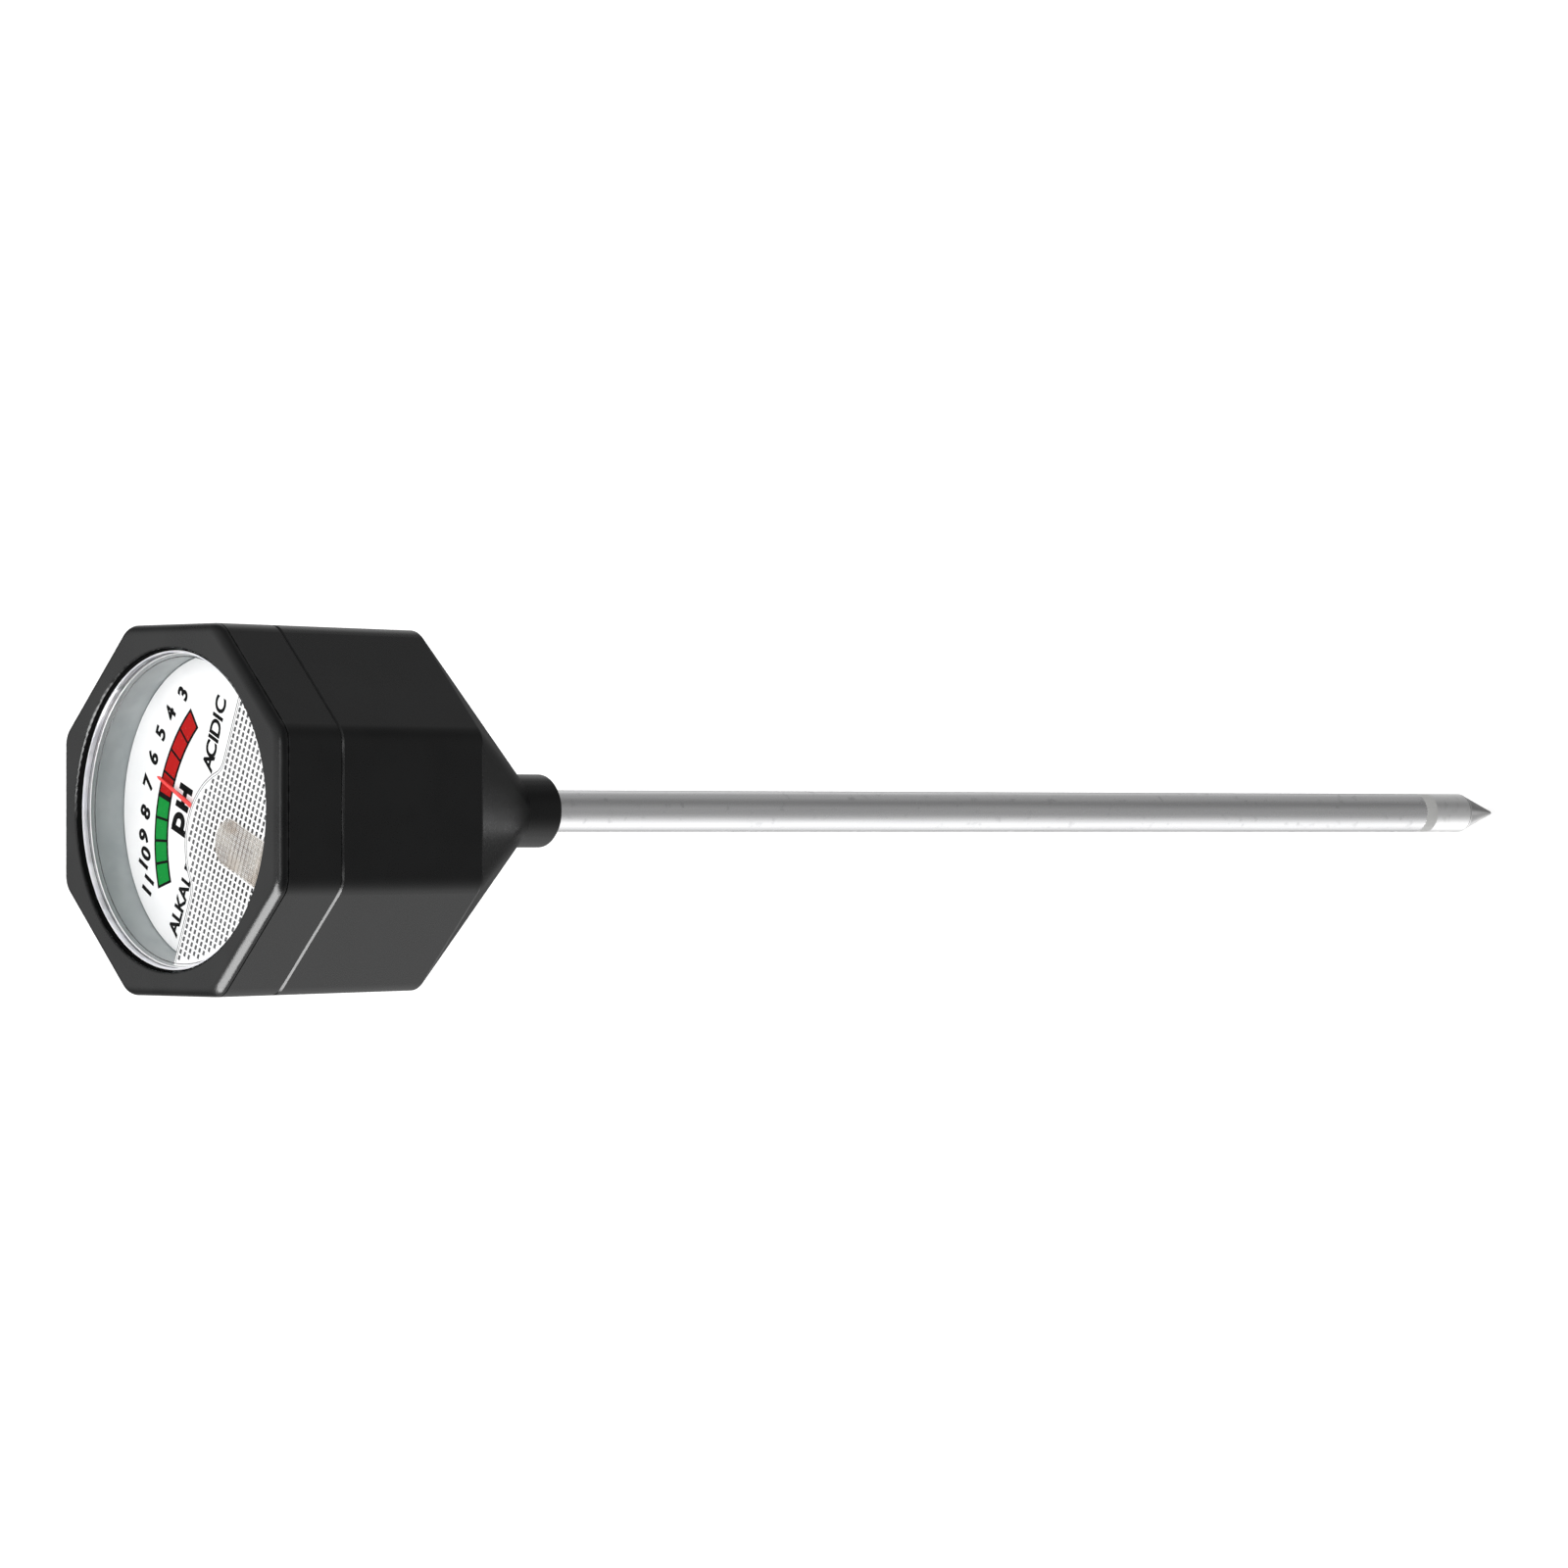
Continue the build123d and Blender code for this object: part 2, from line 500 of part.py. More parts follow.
LOWER_STAFF_END = 257.15
with BuildPart() as lower_staff:
    cylinder_between(COLLET_R, BOBBIN_LOW - BOBBIN_T - WINDING_T - 0.4, BOBBIN_LOW - BOBBIN_T, needle_plane(0))
    cylinder_between(STAFF_R, LOWER_STAFF_END, BOBBIN_LOW - BOBBIN_T, needle_plane(0))
    cylinder_between(COLLET_R, LOWER_SPRING_Z, LOWER_SPRING_Z + SPRING_H, needle_plane(0))
    cylinder_between(PIVOT_R, LOWER_JEWEL_Z - JEWEL_DEPTH + 0.15, LOWER_STAFF_END, needle_plane(0))
finish(lower_staff.part, "lower_staff")

# ---- needle: a thin tapering blade on a hub ring ----
HUB_R = 1.5
NEEDLE_ROOT_W = 1.05
NEEDLE_TIP_W = 0.42
with BuildPart() as needle:
    with BuildSketch(needle_plane(NEEDLE_Z)):
        with BuildLine():
            Polyline(
                (0, -NEEDLE_ROOT_W / 2),
                (NEEDLE_LENGTH - 0.4, -NEEDLE_TIP_W / 2),
                (NEEDLE_LENGTH, 0),
                (NEEDLE_LENGTH - 0.4, NEEDLE_TIP_W / 2),
                (0, NEEDLE_ROOT_W / 2),
                close=True,
            )
        make_face()
        Circle(HUB_R)
        Circle(STAFF_R, mode=Mode.SUBTRACT)
    extrude(amount=NEEDLE_T)
finish(needle.part, "needle")

# ---- balance arms: three wires on a ring under the needle, each with a small tube weight ----
ARM_R = 0.22
ARM_Z = NEEDLE_Z - 0.45
ARM_LENGTH = {90: 4.6, 180: 6.2, 270: 4.6}
WEIGHT_R = 0.62
WEIGHT_LENGTH = 1.4
arm_planes = {}
for turn in ARM_LENGTH:
    angle = radians(NEEDLE_REST_ANGLE + turn)
    arm_planes[turn] = Plane(
        origin=(PIVOT_X, PIVOT_Y, ARM_Z), x_dir=(0, 0, 1), z_dir=(cos(angle), sin(angle), 0)
    )
with BuildPart() as balance_arms:
    with BuildSketch(needle_plane(ARM_Z - 0.4)):
        Circle(HUB_R)
    extrude(amount=NEEDLE_Z - ARM_Z + 0.4)
    for turn, length in ARM_LENGTH.items():
        with BuildSketch(arm_planes[turn]):
            Circle(ARM_R)
        extrude(amount=length)
    cylinder_between(STAFF_R, ARM_Z - 0.5, NEEDLE_Z, needle_plane(0), Mode.SUBTRACT)
finish(balance_arms.part, "balance_arms")

with BuildPart() as balance_weights:
    for turn, length in ARM_LENGTH.items():
        with BuildSketch(arm_planes[turn].offset(length - WEIGHT_LENGTH - 0.2)):
            Circle(WEIGHT_R)
            Circle(ARM_R + 0.01, mode=Mode.SUBTRACT)
        extrude(amount=WEIGHT_LENGTH)
finish(balance_weights.part, "balance_weights")

# ---- hairsprings: flat spirals that carry the coil's current and centre the needle ----
UPPER_ANCHOR_ANGLE = 180
with BuildPart() as upper_hairspring:
    with BuildSketch(pivot_plane(UPPER_SPRING_Z)):
        spiral_strip(0, UPPER_ANCHOR_ANGLE)
    extrude(amount=SPRING_H)
finish(upper_hairspring.part, "upper_hairspring")

with BuildPart() as lower_hairspring:
    with BuildSketch(pivot_plane(LOWER_SPRING_Z)):
        spiral_strip(0, LOWER_ANCHOR_ANGLE)
    extrude(amount=SPRING_H)
finish(lower_hairspring.part, "lower_hairspring")

# ---- zero lever: turns stiffly on the upper jewel screw and holds the upper hairspring's end ----
LEVER_Z = 274.2
LEVER_T = 0.5
LEVER_LENGTH = 8.0
LEVER_HUB_R = 2.2
LEVER_W = 1.6
LEVER_EYE_R = 0.6
ANCHOR_TAB = 0.8
with BuildPart() as zero_lever:
    with BuildSketch(pivot_plane(LEVER_Z)):
        Circle(LEVER_HUB_R)
        Rectangle(LEVER_LENGTH, LEVER_W, rotation=UPPER_ANCHOR_ANGLE, align=(Align.MIN, Align.CENTER))
        with PolarLocations(LEVER_LENGTH, 1, start_angle=UPPER_ANCHOR_ANGLE):
            Circle(LEVER_EYE_R + 0.7)
            Circle(LEVER_EYE_R, mode=Mode.SUBTRACT)
        Circle(SCREW_SHANK_R + 0.05, mode=Mode.SUBTRACT)
    extrude(amount=LEVER_T)
    with BuildSketch(pivot_plane(UPPER_SPRING_Z)):
        with PolarLocations(SPRING_END_R, 1, start_angle=UPPER_ANCHOR_ANGLE):
            Rectangle(ANCHOR_TAB, ANCHOR_TAB)
    extrude(amount=LEVER_Z - UPPER_SPRING_Z)
finish(zero_lever.part, "zero_lever")

# ---- electrics behind the case: two studs, a resistor across them, two leads to the probe ----
with BuildPart() as meter_terminals:
    with BuildSketch(Plane.XY.offset(TERMINAL_END_Z)):
        with Locations(*TERMINALS):
            Circle(TERMINAL_R)
    extrude(amount=CASE_FLOOR_Z - TERMINAL_END_Z)
    with BuildSketch(Plane.XY.offset(CASE_FLOOR_Z)):
        with Locations(*TERMINALS):
            Circle(1.8)
    extrude(amount=0.8)
finish(meter_terminals.part, "meter_terminals")

RESISTOR_Z = 249.2
RESISTOR_LENGTH = 6.5
RESISTOR_R = 1.15
with BuildPart() as shunt_resistor:
    with BuildSketch(Plane(origin=(0, TERMINALS[0][1], RESISTOR_Z), z_dir=(1, 0, 0))):
        Circle(RESISTOR_R)
    extrude(amount=RESISTOR_LENGTH / 2, both=True)
    fillet(shunt_resistor.edges(), 0.4)
    with BuildSketch(Plane(origin=(0, TERMINALS[0][1], RESISTOR_Z), z_dir=(1, 0, 0))):
        Circle(0.3)
    extrude(amount=TERMINALS[0][0] - TERMINAL_R, both=True)
finish(shunt_resistor.part, "shunt_resistor")

TAG_TAB_X = -7.2
TAG_TAB_Z = 229.0
rod_lead_route = [(*TERMINALS[0], TERMINAL_END_Z), (*TERMINALS[0], 242.5), (0, 0, 240.4), (0, 0, ROD_TOP_Z)]
tube_lead_route = [
    (*TERMINALS[1], TERMINAL_END_Z),
    (*TERMINALS[1], 241.0),
    (TAG_TAB_X + TAG_T / 2, 0, 236.0),
    (TAG_TAB_X + TAG_T / 2, 0, TAG_TAB_Z),
]


def lead(name, route):
    """An insulated wire swept along straight runs joined by large tangent arcs."""
    points = [Vector(*place) for place in route]
    runs = [after - before for before, after in zip(points, points[1:])]
    radii = []
    for run_in, run_out in zip(runs, runs[1:]):
        half_turn = radians(run_in.get_angle(run_out)) / 2
        radii.append(0.45 * min(run_in.length, run_out.length) * cos(half_turn) / sin(half_turn))
    with BuildPart() as wire:
        with BuildLine() as path:
            FilletPolyline(*points, radius=radii)
        with BuildSketch(Plane(origin=path.line @ 0, z_dir=path.line % 0)):
            Circle(LEAD_R)
        sweep()
    finish(wire.part, name)
    section_volume = pi * LEAD_R**2 * sum(edge.length for edge in path.edges())
    print(name, "radii", [round(r, 1) for r in radii], "volume ratio", wire.part.volume / section_volume)


lead("rod_lead", rod_lead_route)
lead("tube_lead", tube_lead_route)

# ---- probe fixings inside the pyramid: solder tag, lock washer, nut ----
with BuildPart() as solder_tag:
    with BuildSketch(Plane.XY.offset(HOLLOW_FLOOR_Z)):
        Circle(5.2)
        with Locations((TAG_TAB_X, 0)):
            Rectangle(-TAG_TAB_X, 3.0, align=(Align.MIN, Align.CENTER))
        Circle(SHANK_HOLE_R, mode=Mode.SUBTRACT)
    extrude(amount=TAG_T)
    with BuildSketch(Plane.XY.offset(HOLLOW_FLOOR_Z)):
        with Locations((TAG_TAB_X, 0)):
            Rectangle(TAG_T, 3.0, align=(Align.MIN, Align.CENTER))
    extrude(amount=TAG_TAB_Z - HOLLOW_FLOOR_Z)
finish(solder_tag.part, "solder_tag")

WASHER_Z = HOLLOW_FLOOR_Z + TAG_T
NUT_Z = WASHER_Z + WASHER_T
with BuildPart() as lock_washer:
    with BuildSketch(Plane.XY.offset(WASHER_Z)):
        Circle(4.8)
        with PolarLocations(4.8, 10):
            Rectangle(0.9, 0.6, mode=Mode.SUBTRACT)
        Circle(SHANK_HOLE_R, mode=Mode.SUBTRACT)
    extrude(amount=WASHER_T)
finish(lock_washer.part, "lock_washer")

with BuildPart() as probe_nut:
    with BuildSketch(Plane.XY.offset(NUT_Z)):
        RegularPolygon(NUT_AF / 2, 6, major_radius=False)
        Circle(SHANK_HOLE_R, mode=Mode.SUBTRACT)
    extrude(amount=NUT_T)
    chamfer(probe_nut.faces().sort_by(Axis.Z)[-1].edges().filter_by(GeomType.LINE), 0.4)
finish(probe_nut.part, "probe_nut")

# ---- probe: tube electrode, insulating ring and sleeve, tip electrode on its centre rod ----
with BuildPart() as probe_tube:
    cylinder_between(PROBE_R, TUBE_BOTTOM_Z, COLLAR_END_Z)
    cylinder_between(SHANK_R, COLLAR_END_Z, TUBE_TOP_Z)
    cylinder_between(TUBE_BORE_R, TUBE_BOTTOM_Z, TUBE_TOP_Z, mode=Mode.SUBTRACT)
finish(probe_tube.part, "probe_tube")

with BuildPart() as insulator_ring:
    cylinder_between(PROBE_R, TIP_TOP_Z, TUBE_BOTTOM_Z)
    cylinder_between(SLEEVE_R, TUBE_BOTTOM_Z, SLEEVE_BOTTOM_Z)
    cylinder_between(SOCKET_R - 0.03, SOCKET_Z, TIP_TOP_Z)
    cylinder_between(SLEEVE_BORE_R, SOCKET_Z, SLEEVE_BOTTOM_Z, mode=Mode.SUBTRACT)
finish(insulator_ring.part, "insulator_ring")

with BuildPart() as insulating_sleeve:
    with BuildSketch(Plane.XY.offset(SLEEVE_BOTTOM_Z)):
        Circle(SLEEVE_R)
        Circle(SLEEVE_BORE_R, mode=Mode.SUBTRACT)
    extrude(amount=SLEEVE_TOP_Z - SLEEVE_BOTTOM_Z)
finish(insulating_sleeve.part, "insulating_sleeve")

with BuildPart() as centre_rod:
    cylinder_between(ROD_R, ROD_BOTTOM_Z, ROD_TOP_Z)
finish(centre_rod.part, "centre_rod")

TIP_GROOVE = 0.2
CONE_R = PROBE_R - TIP_GROOVE
POINT_ANGLE = atan2(CONE_R, CONE_Z - POINT_R) - asin(POINT_R / hypot(CONE_R, CONE_Z - POINT_R))
with BuildPart() as probe_tip:
    with BuildSketch(Plane.XZ):
        with BuildLine():
            CenterArc((0, POINT_R), POINT_R, -90, 90 - degrees(POINT_ANGLE))
            Polyline(
                (POINT_R * cos(POINT_ANGLE), POINT_R - POINT_R * sin(POINT_ANGLE)),
                (CONE_R, CONE_Z),
                (CONE_R, TIP_GROOVE_Z - TIP_GROOVE),
                (PROBE_R, TIP_GROOVE_Z),
                (PROBE_R, TIP_TOP_Z),
                (SOCKET_R, TIP_TOP_Z),
                (SOCKET_R, SOCKET_Z),
                (ROD_R + 0.02, SOCKET_Z),
                (ROD_R + 0.02, ROD_BOTTOM_Z),
                (0, ROD_BOTTOM_Z),
                (0, 0),
            )
        make_face()
    revolve(axis=Axis.Z)
finish(probe_tip.part, "probe_tip")
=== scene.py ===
import bpy
import json
from math import atan2, cos, degrees, hypot, pi, radians, sin, sqrt
from mathutils import Matrix, Vector


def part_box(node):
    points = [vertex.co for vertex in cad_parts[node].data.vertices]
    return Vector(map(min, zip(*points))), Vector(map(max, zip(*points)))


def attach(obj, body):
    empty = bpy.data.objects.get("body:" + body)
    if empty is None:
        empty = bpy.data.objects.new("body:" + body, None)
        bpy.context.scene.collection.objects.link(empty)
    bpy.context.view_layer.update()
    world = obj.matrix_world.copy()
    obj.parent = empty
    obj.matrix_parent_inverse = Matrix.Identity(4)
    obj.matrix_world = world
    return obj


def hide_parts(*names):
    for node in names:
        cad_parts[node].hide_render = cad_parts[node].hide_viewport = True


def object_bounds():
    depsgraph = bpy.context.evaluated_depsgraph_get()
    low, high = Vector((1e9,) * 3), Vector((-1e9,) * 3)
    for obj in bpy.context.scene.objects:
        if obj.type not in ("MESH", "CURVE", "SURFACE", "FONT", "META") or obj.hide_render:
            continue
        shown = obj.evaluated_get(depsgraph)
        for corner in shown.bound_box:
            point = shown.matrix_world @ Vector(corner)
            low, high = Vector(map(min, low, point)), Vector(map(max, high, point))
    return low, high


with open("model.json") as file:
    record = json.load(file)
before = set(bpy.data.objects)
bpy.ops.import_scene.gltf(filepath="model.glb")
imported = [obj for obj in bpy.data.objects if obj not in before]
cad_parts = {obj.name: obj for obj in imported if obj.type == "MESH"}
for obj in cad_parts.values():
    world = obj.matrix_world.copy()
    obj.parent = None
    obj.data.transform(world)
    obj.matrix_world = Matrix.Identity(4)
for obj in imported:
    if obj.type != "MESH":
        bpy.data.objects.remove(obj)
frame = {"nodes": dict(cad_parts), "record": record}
cad_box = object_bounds()
scene = bpy.context.scene

# The meter stands on the point of its probe, dial up. Sizes are in millimetres, and MM makes them metres.
MM = 0.001
MODULE_TURN = radians(-22.5)          # the dial module is turned in the octagonal head
DIAL_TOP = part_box("dial_plate")[1].z / MM
PAD_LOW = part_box("clear_lens")[0].z / MM
LENS_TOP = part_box("clear_lens")[1].z / MM
LENS_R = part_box("clear_lens")[1].x / MM
CASE_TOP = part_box("meter_case")[1].z / MM
DIAL_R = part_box("dial_plate")[1].x / MM


# ---------------------------------------------------------------- materials

class Wire:
    """A number inside a material. Python's own operators add the Math nodes."""

    def __init__(self, finish, socket):
        self.finish = finish
        self.socket = socket

    def maths(self, operation, *values):
        return self.finish.node("ShaderNodeMath", {"operation": operation}, dict(enumerate(values)))

    def __add__(self, other):
        return self.maths("ADD", self, other)

    __radd__ = __add__

    def __sub__(self, other):
        return self.maths("SUBTRACT", self, other)

    def __rsub__(self, other):
        return self.maths("SUBTRACT", other, self)

    def __mul__(self, other):
        return self.maths("MULTIPLY", self, other)

    __rmul__ = __mul__

    def __pow__(self, other):
        return self.maths("POWER", self, other)

    def clipped(self, low, high):
        """This number spread so that low reads 0 and high reads 1."""
        settings = {"interpolation_type": "SMOOTHSTEP"}
        return self.finish.node("ShaderNodeMapRange", settings, {0: self, 1: low, 2: high, 3: 0.0, 4: 1.0})


class NodeTree:
    """A node tree that is filled one node at a time."""

    def __init__(self, tree):
        self.tree = tree

    def node(self, kind, settings, inputs, output=0):
        """Any node: its settings first, then its sockets' values or wires. Gives the wire that leaves it."""
        made = self.tree.nodes.new(kind)
        for key, value in settings.items():
            setattr(made, key, value)
        for key, value in inputs.items():
            if isinstance(value, Wire):
                self.tree.links.new(value.socket, made.inputs[key])
            else:
                made.inputs[key].default_value = value
        return Wire(self, made.outputs[output])

    def reach(self, vector, way):
        """How far a vector reaches along a way, as one number."""
        return self.node("ShaderNodeVectorMath", {"operation": "DOT_PRODUCT"}, {0: vector, 1: way}, "Value")


class Finish(NodeTree):
    """One material, built round a Principled shader."""

    def __init__(self, name, metallic=0.0, specular=0.5, coat=0.0):
        self.material = bpy.data.materials.new(name)
        self.material.use_nodes = True
        super().__init__(self.material.node_tree)
        self.shader = self.tree.nodes["Principled BSDF"]
        self.shader.inputs["Metallic"].default_value = metallic
        self.shader.inputs["Specular IOR Level"].default_value = specular
        self.shader.inputs["Coat Weight"].default_value = coat
        self.place = self.node("ShaderNodeTexCoord", {}, {}, "Object")

    def noise(self, size_mm, detail=2.0, stretch=None):
        """Smooth noise of that grain size. stretch multiplies the grain along each axis."""
        place = self.place
        if stretch:
            factors = [1 / s for s in stretch]
            place = self.node("ShaderNodeVectorMath", {"operation": "MULTIPLY"}, {0: place, 1: factors})
        inputs = {"Vector": place, "Scale": 1 / (size_mm * MM), "Detail": detail}
        return self.node("ShaderNodeTexNoise", {}, inputs)

    def height(self):
        """Height above the probe's point, in metres."""
        return self.node("ShaderNodeSeparateXYZ", {}, {0: self.place}, 2)

    def edge(self, radius_mm):
        """1 on sharp edges and 0 on open surface."""
        bevel = self.node("ShaderNodeBevel", {"samples": 4}, {"Radius": radius_mm * MM})
        normal = self.node("ShaderNodeNewGeometry", {}, {}, "Normal")
        return (1.0 - self.reach(bevel, normal)).clipped(0.02, 0.16)

    def mix(self, factor, first, second):
        """Colour that runs from first to second."""
        inputs = {0: factor, 6: first, 7: second}
        return self.node("ShaderNodeMix", {"data_type": "RGBA", "clamp_factor": True}, inputs, 2)

    def feed(self, **sockets):
        """Sets or links the shader's own sockets, such as Base_Color or Roughness."""
        for key, value in sockets.items():
            socket = self.shader.inputs[key.replace("_", " ")]
            if isinstance(value, Wire):
                self.tree.links.new(value.socket, socket)
            else:
                socket.default_value = value

    def relief(self, level, depth_mm, strength=1.0):
        """Surface relief from a wire that runs 0 to 1."""
        inputs = {"Height": level, "Distance": depth_mm * MM, "Strength": strength}
        self.feed(Normal=self.node("ShaderNodeBump", {}, inputs))


def colour(r, g, b):
    return (r, g, b, 1.0)


def moulded_black():
    """Satin black ABS: fine spark-eroded grain, faint flow mottling, handling wear on the sharp edges."""
    finish = Finish("moulded_black", specular=0.26)
    grain = finish.noise(0.22, 3.0)
    mottle = finish.noise(9.0, 3.0)
    wear = finish.edge(0.35) * finish.noise(1.4, 4.0).clipped(0.42, 0.62)
    body = finish.mix(mottle.clipped(0.3, 0.7), colour(0.0070, 0.0073, 0.0076), colour(0.0105, 0.0108, 0.011))
    finish.feed(Base_Color=finish.mix(wear * 0.7, body, colour(0.05, 0.051, 0.052)))
    finish.feed(Roughness=0.19 + grain * 0.12 + mottle * 0.08 - wear * 0.08)
    finish.relief(grain + mottle * 0.2, 0.012, 0.5)
    return finish.material


def plastic(name, dark, light, roughness, grain_mm=0.3, depth_mm=0.01, specular=0.5):
    """Moulded plastic with a fine grain and a slight change of tone over the part."""
    finish = Finish(name, specular=specular)
    grain = finish.noise(grain_mm, 3.0)
    mottle = finish.noise(4.0, 3.0)
    finish.feed(Base_Color=finish.mix(mottle.clipped(0.3, 0.7), dark, light))
    finish.feed(Roughness=roughness + grain * 0.1 + mottle * 0.06 - 0.08)
    finish.relief(grain, depth_mm, 0.5)
    return finish.material


def metal(name, dark, light, roughness, stretch=(1, 1, 1), grain_mm=0.12, depth_mm=0.004):
    """Bare or plated metal. stretch draws the grain out along the way it was worked."""
    finish = Finish(name, metallic=1.0)
    grain = finish.noise(grain_mm, 4.0, stretch)
    tarnish = finish.noise(3.0, 4.0)
    finish.feed(Base_Color=finish.mix(tarnish.clipped(0.3, 0.75), dark, light))
    finish.feed(Roughness=roughness + grain * 0.16 + tarnish * 0.1 - 0.12)
    finish.relief(grain, depth_mm, 0.6)
    return finish.material


def drawn_tube():
    """Satin aluminium tube: long fine die lines along it, with a few bright and dull streaks."""
    finish = Finish("drawn_tube", metallic=1.0)
    lines = finish.noise(0.14, 4.0, (1, 1, 90))
    streaks = finish.noise(0.9, 3.0, (1, 1, 40))
    marks = finish.noise(1.6, 5.0).clipped(0.58, 0.72)
    body = finish.mix(streaks, colour(0.68, 0.68, 0.69), colour(0.81, 0.81, 0.815))
    finish.feed(Base_Color=finish.mix(marks * 0.35, body, colour(0.5, 0.5, 0.51)))
    finish.feed(Roughness=0.2 + lines * 0.16 + marks * 0.1)
    finish.relief(lines, 0.006, 0.5)
    return finish.material


def turned_tip():
    """Turned and polished electrode: fine rings left by the tool, duller near the point."""
    finish = Finish("turned_tip", metallic=1.0)
    height = finish.height()
    rings = finish.node("ShaderNodeTexNoise", {"noise_dimensions": "1D"}, {"W": height, "Scale": 9000.0})
    soil = (1.0 - height.clipped(0.0, 0.007)) * finish.noise(0.8, 4.0)
    stain = finish.noise(1.2, 4.0).clipped(0.5, 0.75)
    body = finish.mix(stain * 0.5, colour(0.93, 0.93, 0.93), colour(0.72, 0.72, 0.715))
    finish.feed(Base_Color=finish.mix(soil, body, colour(0.62, 0.61, 0.59)))
    finish.feed(Roughness=0.27 + rings * 0.15 + soil * 0.25)
    finish.relief(rings, 0.012, 0.6)
    return finish.material


def well_grey():
    """Glossy grey plastic of the cup round the dial."""
    finish = Finish("well_grey", specular=0.6)
    mottle = finish.noise(5.0, 3.0)
    grain = finish.noise(0.35, 2.0)
    body = finish.mix(mottle.clipped(0.3, 0.7), colour(0.33, 0.37, 0.375), colour(0.40, 0.435, 0.44))
    finish.feed(Base_Color=body)
    finish.feed(Roughness=0.2 + grain * 0.08)
    finish.relief(grain, 0.004, 0.5)
    return finish.material


def dial_paint():
    """Matt white stove enamel with a very slight orange-peel skin."""
    finish = Finish("dial_paint", specular=0.35)
    peel = finish.noise(0.5, 2.0)
    tone = finish.noise(6.0, 3.0)
    enamel = finish.mix(tone.clipped(0.3, 0.7), colour(0.86, 0.865, 0.87), colour(0.91, 0.91, 0.912))
    finish.feed(Base_Color=enamel)
    finish.feed(Roughness=0.5 + peel * 0.15)
    finish.relief(peel, 0.006, 0.4)
    return finish.material


def ink(name, dark, light, thin):
    """Screen-printed ink. Where the film is thin it lets a little of the ground through."""
    finish = Finish(name, specular=0.0)
    film = finish.noise(0.35, 4.0)
    body = finish.mix(film, dark, light)
    finish.feed(Base_Color=finish.mix(film.clipped(0.66, 0.8) * 0.5, body, thin))
    finish.feed(Roughness=0.42 + film * 0.2)
    finish.relief(film, 0.004, 0.4)
    return finish.material


def needle_lacquer():
    """Bright red lacquer with a soft gloss."""
    finish = Finish("needle_lacquer", coat=0.3)
    film = finish.noise(0.3, 3.0)
    finish.feed(Base_Color=finish.mix(film, colour(0.78, 0.010, 0.008), colour(0.90, 0.018, 0.012)))
    finish.feed(Roughness=0.32 + film * 0.12)
    finish.relief(film, 0.004, 0.4)
    return finish.material


def clear_plastic(name, alpha, haze, roughness):
    """Polished clear plastic: faint hairline scratches, with what lies under it showing through."""
    finish = Finish(name, specular=0.6)
    scratches = finish.noise(0.12, 3.0, (1, 24, 24)).clipped(0.66, 0.74)
    cloud = finish.noise(5.0, 3.0)
    finish.feed(Base_Color=finish.mix(cloud, colour(0.80, 0.83, 0.85), colour(0.90, 0.92, 0.93)))
    finish.feed(Alpha=alpha + scratches * haze + cloud * haze * 0.5)
    finish.feed(Roughness=roughness + scratches * 0.1)
    return finish.material


BRIDGE_U = -0.1                       # middle of the bridge arm's round end, where it shows through the field
BRIDGE_V = -12.8
BRIDGE_R = 3.6
BRIDGE_BLUR = 0.35


def over_bridge(finish, grow=0.0):
    """1 where the field lies over the round-ended bridge arm, 0 beside it. grow widens the arm."""
    across = (cos(MODULE_TURN), sin(MODULE_TURN), 0.0)
    upward = (-sin(MODULE_TURN), cos(MODULE_TURN), 0.0)
    u = finish.reach(finish.place, across)
    v = finish.reach(finish.place, upward)
    off = u * (1 / MM) - BRIDGE_U
    past = v.maths("MAXIMUM", v * (1 / MM) - BRIDGE_V, 0.0)
    reach = (off * off + past * past) ** 0.5
    return 1.0 - reach.clipped(BRIDGE_R - BRIDGE_BLUR + grow, BRIDGE_R + BRIDGE_BLUR + grow)


def pad_plastic():
    """Moulded field of the clear lens: its milky white is painted light, the light its facets throw back;
    thinner over the bridge.
    """
    finish = Finish("pad_plastic", specular=0.5)
    cloud = finish.noise(2.4, 3.0)
    grain = finish.noise(0.2, 2.0)
    block = over_bridge(finish)
    warm = finish.noise(2.6, 2.0, (1, 2, 1)).clipped(0.40, 0.68)
    milky_painted_light = finish.mix(cloud, colour(0.90, 0.90, 0.905), colour(0.97, 0.97, 0.97))
    cream = finish.mix(warm, colour(0.97, 0.965, 0.95), colour(0.72, 0.63, 0.55))
    finish.feed(Base_Color=finish.mix(block, milky_painted_light, cream))
    finish.feed(Alpha=0.9 + cloud * 0.08 - block * 0.34)
    finish.feed(Roughness=0.3 + grain * 0.15)
    finish.relief(grain, 0.01, 0.4)
    return finish.material


def facet_shade():
    """Painted shade for the side of a moulded facet that turns the light away: dark, darker still just beside
    the bridge, and almost gone over the pale bridge.
    """
    finish = Finish("facet_shade", specular=0.5)
    cloud = finish.noise(0.9, 3.0)
    block = over_bridge(finish)
    near = over_bridge(finish, 3.0)
    dark = finish.mix(cloud, colour(0.035, 0.037, 0.040), colour(0.14, 0.145, 0.15))
    beside = finish.mix(near * 0.8, dark, colour(0.02, 0.02, 0.02))
    finish.feed(Base_Color=finish.mix(block, beside, colour(0.42, 0.36, 0.28)))
    finish.feed(Alpha=0.56 + cloud * 0.2 + near * 0.2 - block * 0.9)
    finish.feed(Roughness=0.25 + cloud * 0.2)
    return finish.material


